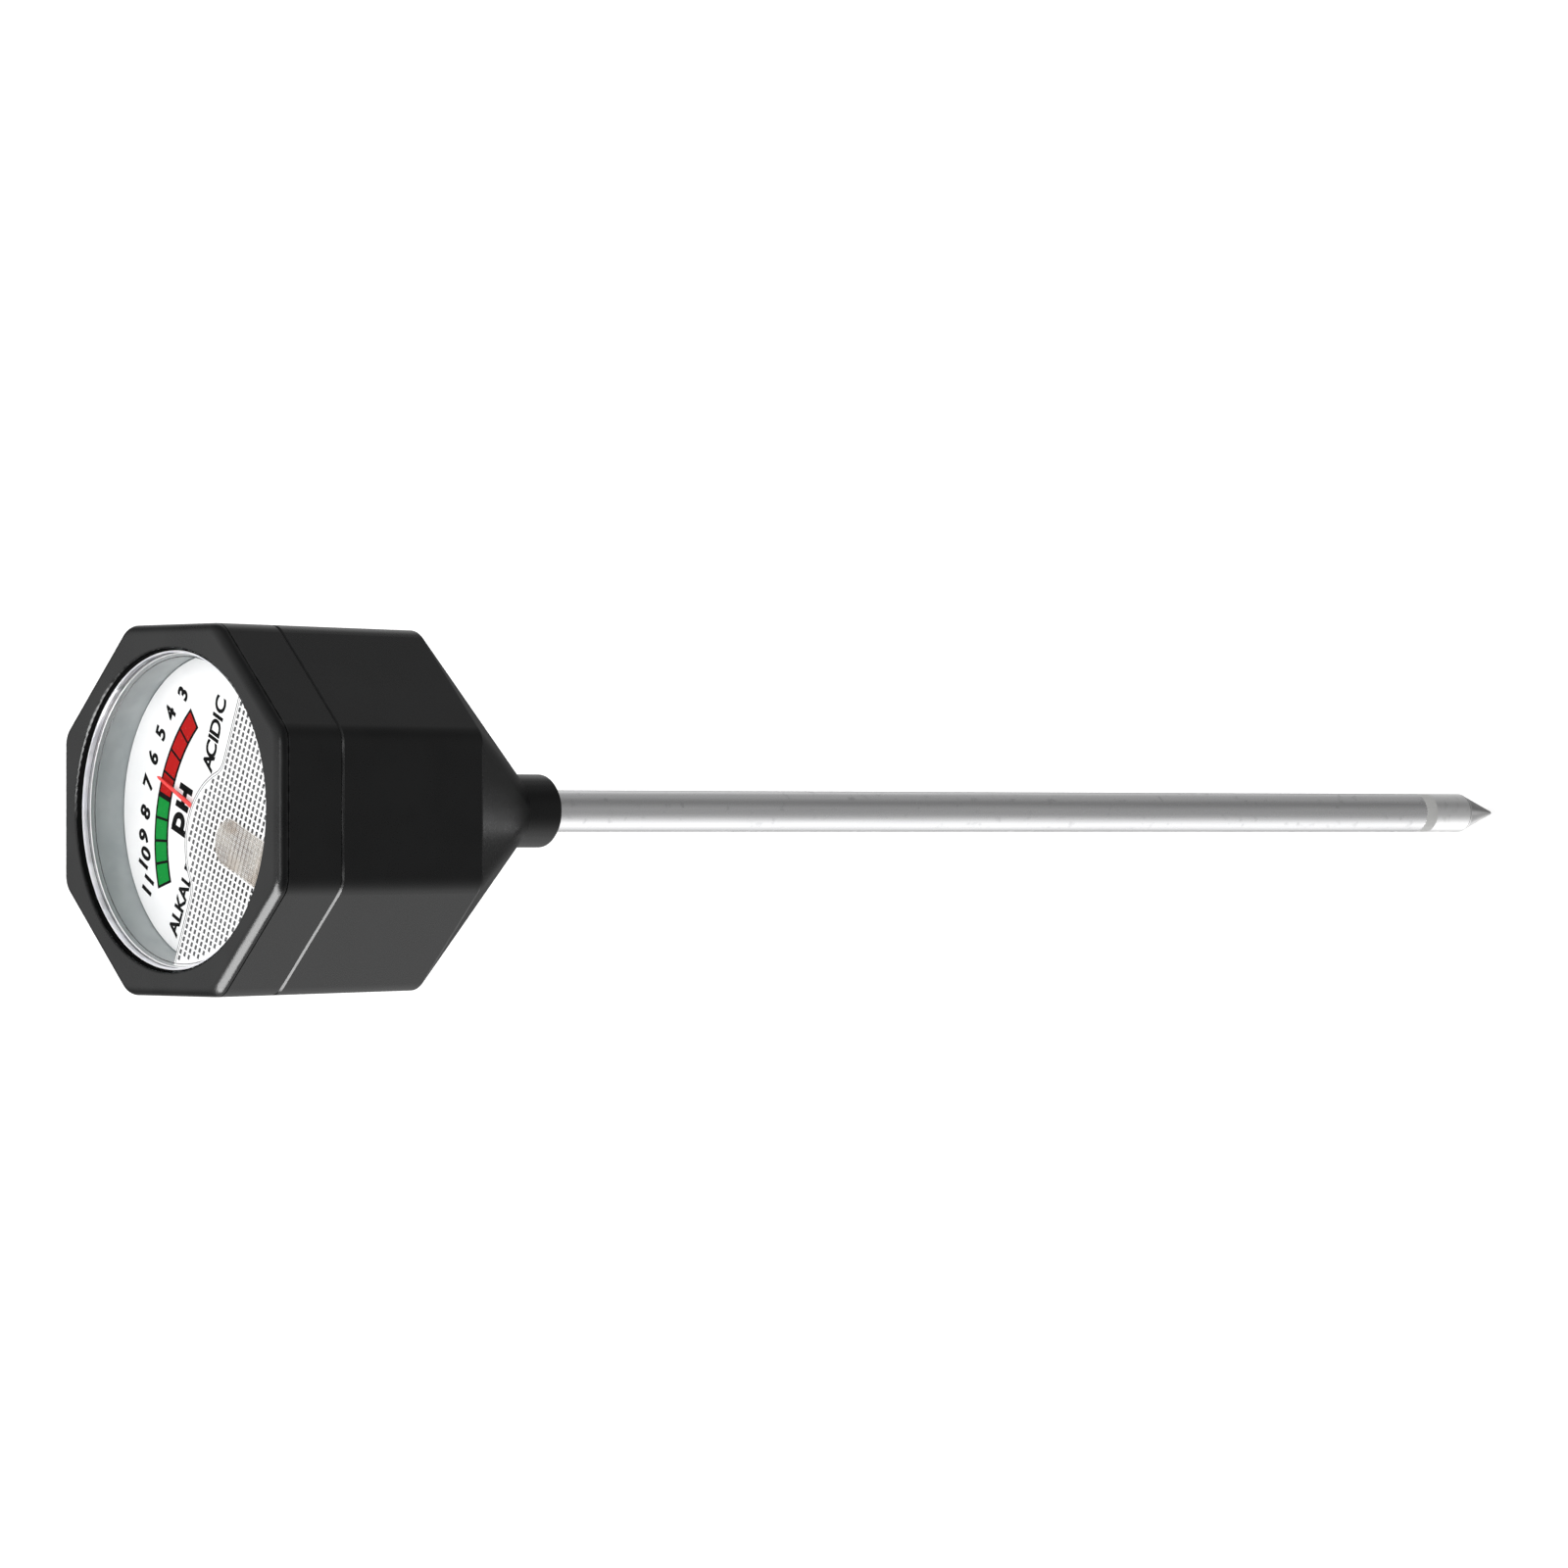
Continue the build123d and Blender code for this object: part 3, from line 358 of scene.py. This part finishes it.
def window_shadow():
    """Painted shadow: dead black for the narrow gap between the lens and the window's bore, where the bore
    wall lies in shade.
    """
    finish = Finish("window_shadow", specular=0.02)
    tone = finish.noise(0.4, 2.0)
    finish.feed(Base_Color=finish.mix(tone, colour(0.002, 0.002, 0.002), colour(0.004, 0.004, 0.004)))
    finish.feed(Roughness=0.8 + tone * 0.1)
    return finish.material


slot_finishes = {
    "black_abs": moulded_black(),
    "grey_case": well_grey(),
    "dial_white": dial_paint(),
    "frame_plastic": plastic("cream_plastic", colour(0.62, 0.57, 0.48), colour(0.72, 0.67, 0.58), 0.42),
    "plated_brass": metal("plated_brass", colour(0.72, 0.56, 0.30), colour(0.84, 0.70, 0.42), 0.28),
    "plated_steel": metal("plated_steel", colour(0.58, 0.59, 0.60), colour(0.72, 0.72, 0.73), 0.32),
    "soft_iron": metal("soft_iron", colour(0.20, 0.20, 0.21), colour(0.34, 0.33, 0.33), 0.5),
    "magnet": metal("magnet_grey", colour(0.16, 0.16, 0.17), colour(0.26, 0.26, 0.27), 0.45),
    "copper_wire": metal("copper_wire", colour(0.55, 0.24, 0.12), colour(0.74, 0.38, 0.20), 0.3, (1, 1, 0.4)),
    "spring_bronze": metal("spring_bronze", colour(0.66, 0.44, 0.22), colour(0.80, 0.58, 0.34), 0.25),
    "needle_red": needle_lacquer(),
    "resistor_body": plastic("resistor_lacquer", colour(0.52, 0.42, 0.26), colour(0.66, 0.55, 0.36), 0.35),
    "lead_red": plastic("lead_red", colour(0.50, 0.02, 0.015), colour(0.62, 0.03, 0.02), 0.4),
    "lead_black": plastic("lead_black", colour(0.012, 0.012, 0.012), colour(0.022, 0.022, 0.022), 0.42),
    "probe_aluminium": drawn_tube(),
    "tip_metal": turned_tip(),
    "rod_metal": metal("rod_metal", colour(0.52, 0.52, 0.53), colour(0.66, 0.66, 0.66), 0.3, (1, 1, 60)),
    "insulator": plastic("insulator_white", colour(0.88, 0.88, 0.86), colour(0.96, 0.96, 0.94), 0.38, 0.25),
    "clear_lens": clear_plastic("lens_clear", 0.002, 0.006, 0.08),
}
for subpart in frame["record"]["subparts"]:
    node = frame["nodes"][subpart["node"]]
    node.data.materials.clear()
    node.data.materials.append(slot_finishes[subpart["material_slot"]])


# ---------------------------------------------------------------- pieces

def place(u, v, z):
    """A point of the dial module, u to its right and v up its face, in the meter's own frame."""
    x = u * cos(MODULE_TURN) - v * sin(MODULE_TURN)
    y = u * sin(MODULE_TURN) + v * cos(MODULE_TURN)
    return Vector((x, y, z)) * MM


class Plates:
    """Thin flat plates of any outline, gathered into one mesh."""

    def __init__(self):
        self.points = []
        self.faces = []

    def add(self, outline, low, high, inset=0.0):
        """A plate with that outline from height low to high. inset draws its top in towards its middle."""
        count = len(outline)
        start = len(self.points)
        middle_u = sum(p[0] for p in outline) / count
        middle_v = sum(p[1] for p in outline) / count
        self.points += [place(u, v, low) for u, v in outline]
        for u, v in outline:
            reach = hypot(u - middle_u, v - middle_v)
            share = 1 - inset / reach if reach else 1
            top_u = middle_u + (u - middle_u) * share
            top_v = middle_v + (v - middle_v) * share
            self.points.append(place(top_u, top_v, high))
        self.faces.append([start + i for i in reversed(range(count))])
        self.faces.append([start + count + i for i in range(count)])
        for i in range(count):
            after = (i + 1) % count
            self.faces.append([start + i, start + after, start + count + after, start + count + i])

    def strip(self, line, width, low, high):
        """A plate that follows a line at that width."""
        left = []
        right = []
        for i, point in enumerate(line):
            before = line[max(i - 1, 0)]
            after = line[min(i + 1, len(line) - 1)]
            run = hypot(after[0] - before[0], after[1] - before[1])
            across = (-(after[1] - before[1]) / run * width / 2, (after[0] - before[0]) / run * width / 2)
            left.append((point[0] + across[0], point[1] + across[1]))
            right.append((point[0] - across[0], point[1] - across[1]))
        self.add(right + left[::-1], low, high)

    def piece(self, name, material, slot, body="root"):
        """Makes the plates one piece."""
        mesh = bpy.data.meshes.new(name)
        mesh.from_pydata(self.points, [], self.faces)
        return fitted(name, mesh, material, body)


def fitted(name, mesh, material, body="root"):
    """Puts a finished mesh in the scene as a piece that rides on its body."""
    mesh.validate()
    mesh.update()
    mesh.materials.append(material)
    piece = bpy.data.objects.new(name, mesh)
    scene.collection.objects.link(piece)
    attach(piece, body)
    return piece


def arc(centre, radius, start, end, steps):
    """Points round a centre, between two angles in degrees from the module's u axis."""
    angles = [radians(start + (end - start) * i / steps) for i in range(steps + 1)]
    return [(centre[0] + radius * cos(a), centre[1] + radius * sin(a)) for a in angles]


def lathed(name, profile, material, steps=128):
    """A ring or disc turned round the head's axis from a closed profile of (radius, height)."""
    points = []
    faces = []
    count = len(profile)
    for i in range(steps):
        angle = 2 * pi * i / steps
        points += [Vector((r * cos(angle), r * sin(angle), z)) * MM for r, z in profile]
        nxt = (i + 1) % steps
        for j in range(count):
            after = (j + 1) % count
            faces.append([i * count + j, nxt * count + j, nxt * count + after, i * count + after])
    mesh = bpy.data.meshes.new(name)
    mesh.from_pydata(points, [], faces)
    mesh.polygons.foreach_set("use_smooth", [True] * len(mesh.polygons))
    fitted(name, mesh, material)


# ---- printed scale: two colours in a black outline, and its numbers ----
ARC_CENTRE = (-0.25, -11.8)
ARC_INNER_R = 23.05
ARC_OUTER_R = 26.2
TICK_CENTRE = (-2.2, -8.7)
FIRST_TICK = 128.7
TICK_STEP = -9.14
LINE_W = 0.42
INK_T = 0.02
UNIT_STEPS = 8


def on_scale(units, radius, shift_mm=0.0):
    """Point of the scale at that many units from its alkaline end, on an arc about the arc's own centre."""
    angle = radians(FIRST_TICK + TICK_STEP * units)
    step = (cos(angle), sin(angle))
    start = (TICK_CENTRE[0] + shift_mm * -step[1], TICK_CENTRE[1] + shift_mm * step[0])
    off = (start[0] - ARC_CENTRE[0], start[1] - ARC_CENTRE[1])
    along = off[0] * step[0] + off[1] * step[1]
    reach = sqrt(along**2 - (off[0] ** 2 + off[1] ** 2) + radius**2) - along
    return (start[0] + reach * step[0], start[1] + reach * step[1])


def scale_block(first, last, inner, outer, gap_first, gap_last):
    """Outline of one block of the scale, its two ends drawn in by gap_first and gap_last."""
    shifts = [-gap_first + (gap_first + gap_last) * i / UNIT_STEPS for i in range(UNIT_STEPS + 1)]
    units = [first + (last - first) * i / UNIT_STEPS for i in range(UNIT_STEPS + 1)]
    outside = [on_scale(unit, outer, shift) for unit, shift in zip(units, shifts)]
    inside = [on_scale(unit, inner, shift) for unit, shift in zip(units, shifts)]
    return inside + outside[::-1]


BLOCKS = 8
NEUTRAL = 4                           # blocks on the green, alkaline side
outline_ink = ink(
    "outline_ink", colour(0.003, 0.003, 0.003), colour(0.008, 0.008, 0.008), colour(0.05, 0.05, 0.05),
)
green_ink = ink(
    "green_ink", colour(0.005, 0.225, 0.034), colour(0.010, 0.290, 0.050), colour(0.10, 0.38, 0.14),
)
red_ink = ink(
    "red_ink", colour(0.385, 0.008, 0.008), colour(0.48, 0.014, 0.012), colour(0.55, 0.09, 0.08),
)
ink_low = DIAL_TOP
ink_high = DIAL_TOP + INK_T
outlines = Plates()
greens = Plates()
reds = Plates()
for block in range(BLOCKS):
    edge = scale_block(
        block, block + 1, ARC_INNER_R - LINE_W / 2, ARC_OUTER_R + LINE_W / 2,
        -LINE_W / 2 if block == 0 else 0.0, -LINE_W / 2 if block == BLOCKS - 1 else 0.0,
    )
    outlines.add(edge, ink_low, ink_high)
    fill = scale_block(
        block, block + 1, ARC_INNER_R + LINE_W / 2, ARC_OUTER_R - LINE_W / 2,
        LINE_W if block == NEUTRAL else LINE_W / 2, LINE_W if block == NEUTRAL - 1 else LINE_W / 2,
    )
    (greens if block < NEUTRAL else reds).add(fill, ink_high, ink_high + INK_T)
outlines.piece("scale_outline", outline_ink, "dial_white")
greens.piece("scale_green", green_ink, "dial_white")
reds.piece("scale_red", red_ink, "dial_white")

CAP_SHARE = 0.73                      # height of a capital in the built-in type, as a share of its size


def lettering(name, words, material, weight, slant):
    """Printed words in one mesh: each has its text, middle point, cap height and turn in degrees."""
    points = []
    faces = []
    for text, u, v, height, turn in words:
        curve = bpy.data.curves.new(name + "_type", "FONT")
        curve.body = text
        curve.size = height / CAP_SHARE
        curve.align_x = "CENTER"
        curve.align_y = "CENTER"
        curve.offset = weight
        curve.shear = slant
        curve.resolution_u = 4
        holder = bpy.data.objects.new(name + "_type", curve)
        scene.collection.objects.link(holder)
        bpy.context.view_layer.update()
        flat = bpy.data.meshes.new_from_object(holder.evaluated_get(bpy.context.evaluated_depsgraph_get()))
        lean = radians(turn)
        middle = (max(p.co.y for p in flat.vertices) + min(p.co.y for p in flat.vertices)) / 2
        start = len(points)
        for point in flat.vertices:
            x = point.co.x
            y = point.co.y - middle
            turned_u = u + x * cos(lean) - y * sin(lean)
            turned_v = v + x * sin(lean) + y * cos(lean)
            points.append(place(turned_u, turned_v, ink_high))
        faces += [[start + i for i in polygon.vertices] for polygon in flat.polygons]
        bpy.data.objects.remove(holder)
        bpy.data.curves.remove(curve)
        bpy.data.meshes.remove(flat)
    mesh = bpy.data.meshes.new(name)
    mesh.from_pydata(points, [], faces)
    fitted(name, mesh, material)


NUMBER_H = 2.55
NUMBER_WEIGHT = 0.145
NUMBER_SLANT = 0.16
numbers = [
    ("11", -17.3, 11.6), ("10", -13.95, 13.95), ("9", -10.8, 15.45),
    ("8", -7.25, 16.5), ("7", -2.9, 17.5), ("6", 1.2, 17.8),
    ("5", 5.4, 17.4), ("4", 9.15, 16.2), ("3", 13.1, 14.35),
]
number_words = [(*n, NUMBER_H, 0.0) for n in numbers]
lettering("scale_numbers", number_words, outline_ink, NUMBER_WEIGHT, NUMBER_SLANT)

# The two side words stand on straight lines: the letters' height, the line's first point, its slope and the
# letters' turn in degrees.
WORD_WEIGHT = 0.12
WORD_SLANT = 0.08
ALKALINE_H = 2.45
ALKALINE_U = -20.4
ALKALINE_V = 2.85
ALKALINE_FALL = 0.025
ALKALINE_TURN = -0.5
ACIDIC_H = 2.7
ACIDIC_U = 6.0
ACIDIC_V = 4.25
ACIDIC_RISE = 0.05
ACIDIC_TURN = 2.5
alkaline = zip("ALKALINE", (-20.45, -18.55, -16.65, -14.6, -12.6, -11.1, -9.6, -7.8))
acidic = zip("ACIDIC", (6.05, 8.05, 9.8, 11.5, 13.25, 15.15))
side_words = []
for letter, u in alkaline:
    side_words.append((letter, u, ALKALINE_V - (u - ALKALINE_U) * ALKALINE_FALL, ALKALINE_H, ALKALINE_TURN))
for letter, u in acidic:
    side_words.append((letter, u, ACIDIC_V + (u - ACIDIC_U) * ACIDIC_RISE, ACIDIC_H, ACIDIC_TURN))
lettering("scale_words", side_words, outline_ink, WORD_WEIGHT, WORD_SLANT)

# ---- heavy pH mark, drawn with a broad stroke ----
MARK_W = 1.02
p_bowl = [(-6.4, 8.92), (-5.2, 8.92)] + arc((-5.2, 7.85), 1.07, 90, -90, 12) + [(-6.4, 6.78)]
mark_strokes = [
    [(-6.35, 9.35), (-6.35, 4.6)],
    p_bowl,
    [(-2.65, 9.7), (-2.65, 6.3)],
    [(0.15, 9.75), (0.15, 6.25)],
    [(-2.65, 7.98), (0.15, 7.98)],
]
mark = Plates()
for stroke in mark_strokes:
    mark.strip(stroke, MARK_W, ink_low, ink_high)
mark.piece("scale_mark", outline_ink, "dial_white")

# ---- lens: clear disc and its polished edge with painted highlights and painted shade lines, in the window's bore of painted shadow ----
EDGE_W = 0.35
LENS_ROUND = 0.3
SKIN = 0.02                           # keeps two faces from lying in one plane


def disc(name, radius, low, high, material, slot, steps=128):
    """A flat round plate about the head's axis."""
    plates = Plates()
    plates.add(arc((0, 0), radius, 0, 360 * (1 - 1 / steps), steps - 1), low, high)
    return plates.piece(name, material, slot)


lens_clear = slot_finishes["clear_lens"]
lens = disc("lens_disc", LENS_R - EDGE_W, CASE_TOP, LENS_TOP - SKIN, lens_clear, "clear_lens")
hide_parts("clear_lens")
edge_profile = [(LENS_R - EDGE_W, CASE_TOP), (LENS_R, CASE_TOP)]
edge_profile += [
    (LENS_R - LENS_ROUND + LENS_ROUND * cos(radians(a)), LENS_TOP - LENS_ROUND + LENS_ROUND * sin(radians(a)))
    for a in range(0, 91, 15)
]
edge_profile += [(LENS_R - EDGE_W, LENS_TOP)]
# The lens's edge ring is painted an opaque pale lilac white: painted light for the bright polished edge of
# the clear lens.
edge_painted_light = plastic(
    "lens_edge_painted_light", colour(0.76, 0.77, 0.83), colour(0.90, 0.90, 0.93), 0.16, 1.2, 0.004,
)
lathed("lens_edge", edge_profile, edge_painted_light)


def bead(radius, height, thick):
    """Round section of a thin ring about the head's axis."""
    angles = [radians(45 * i) for i in range(8)]
    return [(radius + thick * cos(a), height + thick * sin(a)) for a in angles]


painted_highlight = plastic(
    "lens_edge_painted_highlight", colour(0.95, 0.95, 0.96), colour(0.99, 0.99, 0.99), 0.14, 1.2, 0.002,
)
shade = facet_shade()
# Each thin ring in the lens's edge: its name, radius, height, half thickness and finish. The white rings are
# painted highlights on the polished edges; the dark rings are painted shade lines.
BEADS = [
    ("lens_highlight_top", LENS_R - 0.18, LENS_TOP - 0.2, 0.17, painted_highlight),
    ("lens_highlight_low", LENS_R - 0.45, CASE_TOP + 0.12, 0.11, painted_highlight),
    ("lens_shade_line_mid", LENS_R - 0.32, CASE_TOP + 0.55, 0.07, shade),
    ("lens_shade_line_low", LENS_R - 0.95, CASE_TOP - 0.35, 0.09, shade),
]
# A thin dead-black sheet inside the window's bore is painted shadow, for the bore wall in shade around the
# lens.
SHADOW_GAP = 0.13                     # the window's bore stands that far outside the lens
SHADOW_SHEET_T = 0.04
SHADOW_DROP = 0.36                    # the painted shadow sheet stops that far under the face, at the bore's rounded edge
WINDOW_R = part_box("clear_lens")[1].x / MM + SHADOW_GAP
SHADOW_LOW = CASE_TOP + SKIN
SHADOW_TOP = cad_box[1].z / MM - SHADOW_DROP
shadow_profile = [(WINDOW_R - SHADOW_SHEET_T, SHADOW_LOW), (WINDOW_R, SHADOW_LOW)]
shadow_profile += [(WINDOW_R, SHADOW_TOP), (WINDOW_R - SHADOW_SHEET_T, SHADOW_TOP)]
lathed("window_shadow_sheet", shadow_profile, window_shadow())
for bead_name, bead_r, bead_z, bead_t, bead_finish in BEADS:
    lathed(bead_name, bead(bead_r, bead_z, bead_t), bead_finish)

# ---- painted shadow: a dark ring in the groove turned in the tip, where its cone begins ----
TIP_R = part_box("probe_tip")[1].x / MM
GROOVE_Z = 7.96
GROOVE_T = 0.11
GROOVE_IN = TIP_R - 0.3
GROOVE_OUT = TIP_R - SKIN
groove = [(GROOVE_IN, GROOVE_Z - GROOVE_T), (GROOVE_OUT, GROOVE_Z - GROOVE_T)]
groove += [(GROOVE_OUT, GROOVE_Z + GROOVE_T), (GROOVE_IN, GROOVE_Z + GROOVE_T)]
groove_painted_shadow = metal("groove_painted_shadow", colour(0.03, 0.03, 0.03), colour(0.07, 0.07, 0.07), 0.5)
lathed("tip_groove_shade", groove, groove_painted_shadow)

# ---- waffle field moulded under the lens: a straight upper edge with a round hump in its middle ----
PAD_LINE = -6.5
HUMP_CENTRE = (-0.3, -13.1)
HUMP_R = 11.65
BLEND_R = 3.0
PAD_GAP = 0.1
PAD_R = DIAL_R - PAD_GAP
PAD_T = 0.3


def pad_edge(inset):
    """The field's upper edge from left to right, drawn in by that much: line, blend, hump, blend, line."""
    line = PAD_LINE - inset
    hump = HUMP_R - inset
    blend = BLEND_R + inset
    reach = sqrt((hump + blend) ** 2 - (line + blend - HUMP_CENTRE[1]) ** 2)
    tilt = degrees(atan2(reach, line + blend - HUMP_CENTRE[1]))
    half = sqrt((PAD_R - inset) ** 2 - line**2)
    left = arc((HUMP_CENTRE[0] - reach, line + blend), blend, -90, -90 + tilt, 10)
    top = arc(HUMP_CENTRE, hump, 90 + tilt, 90 - tilt, 48)
    right = arc((HUMP_CENTRE[0] + reach, line + blend), blend, -90 - tilt, -90, 10)
    return [(-half, line)] + left + top[1:-1] + right + [(half, line)]


def pad_outline(inset):
    """The whole field's outline: the edge above, and the lens's round below."""
    edge = pad_edge(inset)
    end = edge[-1]
    low = degrees(atan2(end[1], end[0]))
    rim = arc((0, 0), PAD_R - inset, low, -180 - low, 72)
    return edge + rim[1:-1]


PAD_TOP = PAD_LOW + PAD_T
pad = Plates()
pad.add(pad_outline(0.0), PAD_LOW, PAD_TOP)
pad.piece("waffle_pad", pad_plastic(), "clear_lens")

PITCH_U = 1.03
PITCH_V = 1.1
DASH = (0.74, 0.40)
CELL_T = 0.16
CELL_DRAFT = 0.1
BORDER = 1.0
half_u = DASH[0] / 2
half_v = DASH[1] / 2
# The raised cells take the dark facet finish: painted shade for the facet sides that turn the light away.
cells = Plates()
for row in range(-16, 12):
    for column in range(-22, 23):
        u = HUMP_CENTRE[0] + column * PITCH_U
        v = HUMP_CENTRE[1] + row * PITCH_V
        below_line = v < PAD_LINE - BORDER
        in_hump = hypot(u - HUMP_CENTRE[0], v - HUMP_CENTRE[1]) < HUMP_R - BORDER
        if hypot(u, v) > PAD_R - BORDER or not (below_line or in_hump):
            continue
        outline = [(u - half_u, v - half_v), (u + half_u, v - half_v)]
        outline += [(u + half_u, v + half_v), (u - half_u, v + half_v)]
        cells.add(outline, PAD_TOP, PAD_TOP + CELL_T, CELL_DRAFT)
cells.piece("waffle_cells", shade, "clear_lens")

# ---- fine crossed lines where the bridge arm shows through the field ----
THREAD_SPAN = 3.3                     # from the arm's middle to its outermost long thread
THREADS_A_SIDE = 12
THREAD_FOOT = -23.0
THREAD_W = 0.08
BOLD_THREAD_W = 0.14                  # every third long thread
CROSS_THREADS = 13
CROSS_START = 2.2                     # from the middle of the arm's round end up to the first cross thread
CROSS_PITCH = 0.95
CROSS_W = 0.07
THREAD_TOP = PAD_TOP + 0.05
threads = Plates()
for i in range(-THREADS_A_SIDE, THREADS_A_SIDE + 1):
    u = BRIDGE_U + i * THREAD_SPAN / THREADS_A_SIDE
    end = BRIDGE_V + sqrt(BRIDGE_R**2 - (u - BRIDGE_U) ** 2)
    threads.strip([(u, end), (u, THREAD_FOOT)], THREAD_W if i % 3 else BOLD_THREAD_W, PAD_TOP, THREAD_TOP)
for i in range(CROSS_THREADS):
    v = BRIDGE_V + CROSS_START - i * CROSS_PITCH
    half = sqrt(BRIDGE_R**2 - max(v - BRIDGE_V, 0.0) ** 2)
    threads.strip([(BRIDGE_U - half, v), (BRIDGE_U + half, v)], CROSS_W, PAD_TOP, THREAD_TOP)
thread_shade = plastic("thread_shade", colour(0.22, 0.18, 0.15), colour(0.50, 0.46, 0.40), 0.3)
threads.piece("waffle_threads", thread_shade, "clear_lens")

# ---- two fine lines of painted shade along the field's upper edge, each with its inset and width ----
BORDER_LINES = ((0.12, 0.12), (0.5, 0.08))
BORDER_T = 0.03
borders = Plates()
for inset, width in BORDER_LINES:
    borders.strip(pad_edge(inset), width, PAD_TOP, PAD_TOP + BORDER_T)
borders.piece("waffle_edge_shade", shade, "clear_lens")


# ---------------------------------------------------------------- floor, light and camera

FLOOR_HALF = 6.0                      # in metres, as is the gap under the probe's point
FLOOR_GAP = 0.0005


def floor():
    """Plain pale floor under the probe's point. It throws no light back, so the black head stays black."""
    mesh = bpy.data.meshes.new("floor")
    low = cad_box[0].z - FLOOR_GAP
    corners = [(-FLOOR_HALF, -FLOOR_HALF, low), (FLOOR_HALF, -FLOOR_HALF, low)]
    corners += [(FLOOR_HALF, FLOOR_HALF, low), (-FLOOR_HALF, FLOOR_HALF, low)]
    mesh.from_pydata(corners, [], [(0, 1, 2, 3)])
    obj = bpy.data.objects.new("floor", mesh)
    scene.collection.objects.link(obj)
    finish = Finish("pale_floor", specular=0.1)
    tone = finish.noise(400.0, 2.0)
    finish.feed(Base_Color=finish.mix(tone, colour(0.93, 0.93, 0.93), colour(0.95, 0.95, 0.95)))
    finish.feed(Roughness=0.9)
    finish.feed(Emission_Color=colour(1, 1, 1), Emission_Strength=0.35)
    mesh.materials.append(finish.material)
    obj.visible_glossy = False
    obj.visible_diffuse = False
    obj.visible_shadow = False


# Each soft panel: the way to its middle, how tightly it is gathered, and its strength.
PANELS = [
    ((0.0, 0.1, 1.0), 2.0, 0.9),
    ((0.0, 0.75, 0.65), 6.0, 0.75),
    ((0.7, -0.3, 0.6), 5.0, 0.3),
    ((-0.80, -0.10, -0.60), 7.0, 1.45),
    ((0.20, -0.80, -0.50), 8.0, 0.36),
    ((-0.45, -0.60, -0.60), 12.0, 0.24),
    ((-0.55, 0.60, -0.50), 14.0, 0.45),
    ((0.75, 0.0, -0.60), 10.0, 0.36),
    ((0.56, 0.62, -0.56), 14.0, 0.32),
    ((0.60, 0.60, -0.40), 24.0, 0.9),
    ((0.0, -0.24, -0.97), 200.0, 1.6),
    ((-0.425, 0.335, -0.84), 120.0, 1.6),
]
AMBIENT = 0.05

# Each lamp: its name, the way to it, its distance, its width and height, its strength, and whether it lights
# matt surfaces or only shows in the gloss.
HEAD = Vector((0, 0, cad_box[1].z))
LAMPS = [
    ("rim_strip", (-0.834, -0.074, 0.546), 0.62, (0.40, 0.95), 26.0, False),
    ("front_strip", (0.0, -0.642, 0.766), 0.62, (0.30, 0.10), 0.55, False),
    ("overhead", (0.10, -0.30, 1.0), 0.70, (0.60, 0.60), 3.7, True),
]


def lamp(name, way, distance, size, watts, matt):
    """Soft rectangular lamp that faces the head. With matt it lights surfaces, without it is a highlight."""
    data = bpy.data.lights.new(name, "AREA")
    data.shape = "RECTANGLE"
    data.size, data.size_y = size
    data.energy = watts
    obj = bpy.data.objects.new(name, data)
    scene.collection.objects.link(obj)
    aim = Vector(way).normalized()
    obj.location = HEAD + aim * distance
    obj.rotation_mode = "QUATERNION"
    obj.rotation_quaternion = aim.to_track_quat("Z", "Y")
    obj.visible_camera = False
    obj.visible_diffuse = matt
    obj.visible_glossy = not matt


def studio():
    """Soft panels all round, as a smooth sky of light, with plain white behind the meter."""
    world = bpy.data.worlds.new("studio")
    world.use_nodes = True
    scene.world = world
    tree = world.node_tree
    background = tree.nodes["Background"]
    sky = NodeTree(tree)
    way = sky.node("ShaderNodeTexCoord", {}, {}, "Generated")
    total = AMBIENT
    for direction, tightness, strength in PANELS:
        aim = Vector(direction).normalized()
        facing = sky.reach(way, aim)
        total = total + facing.maths("MAXIMUM", facing, 0.0) ** tightness * strength
    seen = sky.node("ShaderNodeLightPath", {}, {}, "Is Camera Ray")
    total = seen + (1.0 - seen) * total
    tree.links.new(total.socket, background.inputs["Strength"])
    background.inputs["Color"].default_value = colour(1, 1, 1)


CAMERA_AT = Vector((-3.18, -976.22, 977.82)) * MM
CAMERA_BACK = Vector((-0.00595, -0.76629, 0.64247))
CAMERA_SIDE = Vector((0.99998, -0.00453, 0.00386))     # the meter lies level in view, so this side is up
CAMERA_LENS = 182.8
CAMERA_SENSOR = 36.0


def camera():
    data = bpy.data.cameras.new("camera")
    data.lens = CAMERA_LENS
    data.sensor_width = CAMERA_SENSOR
    data.clip_start = 0.05
    data.clip_end = 20.0
    obj = bpy.data.objects.new("camera", data)
    scene.collection.objects.link(obj)
    across = CAMERA_SIDE.cross(CAMERA_BACK)
    turned = Matrix((across, CAMERA_SIDE, CAMERA_BACK)).transposed().to_4x4()
    obj.matrix_world = Matrix.Translation(CAMERA_AT) @ turned
    scene.camera = obj


floor()
studio()
for lamp_parts in LAMPS:
    lamp(*lamp_parts)
camera()
scene.view_settings.view_transform = "Standard"
scene.view_settings.look = "None"

bpy.context.view_layer.update()
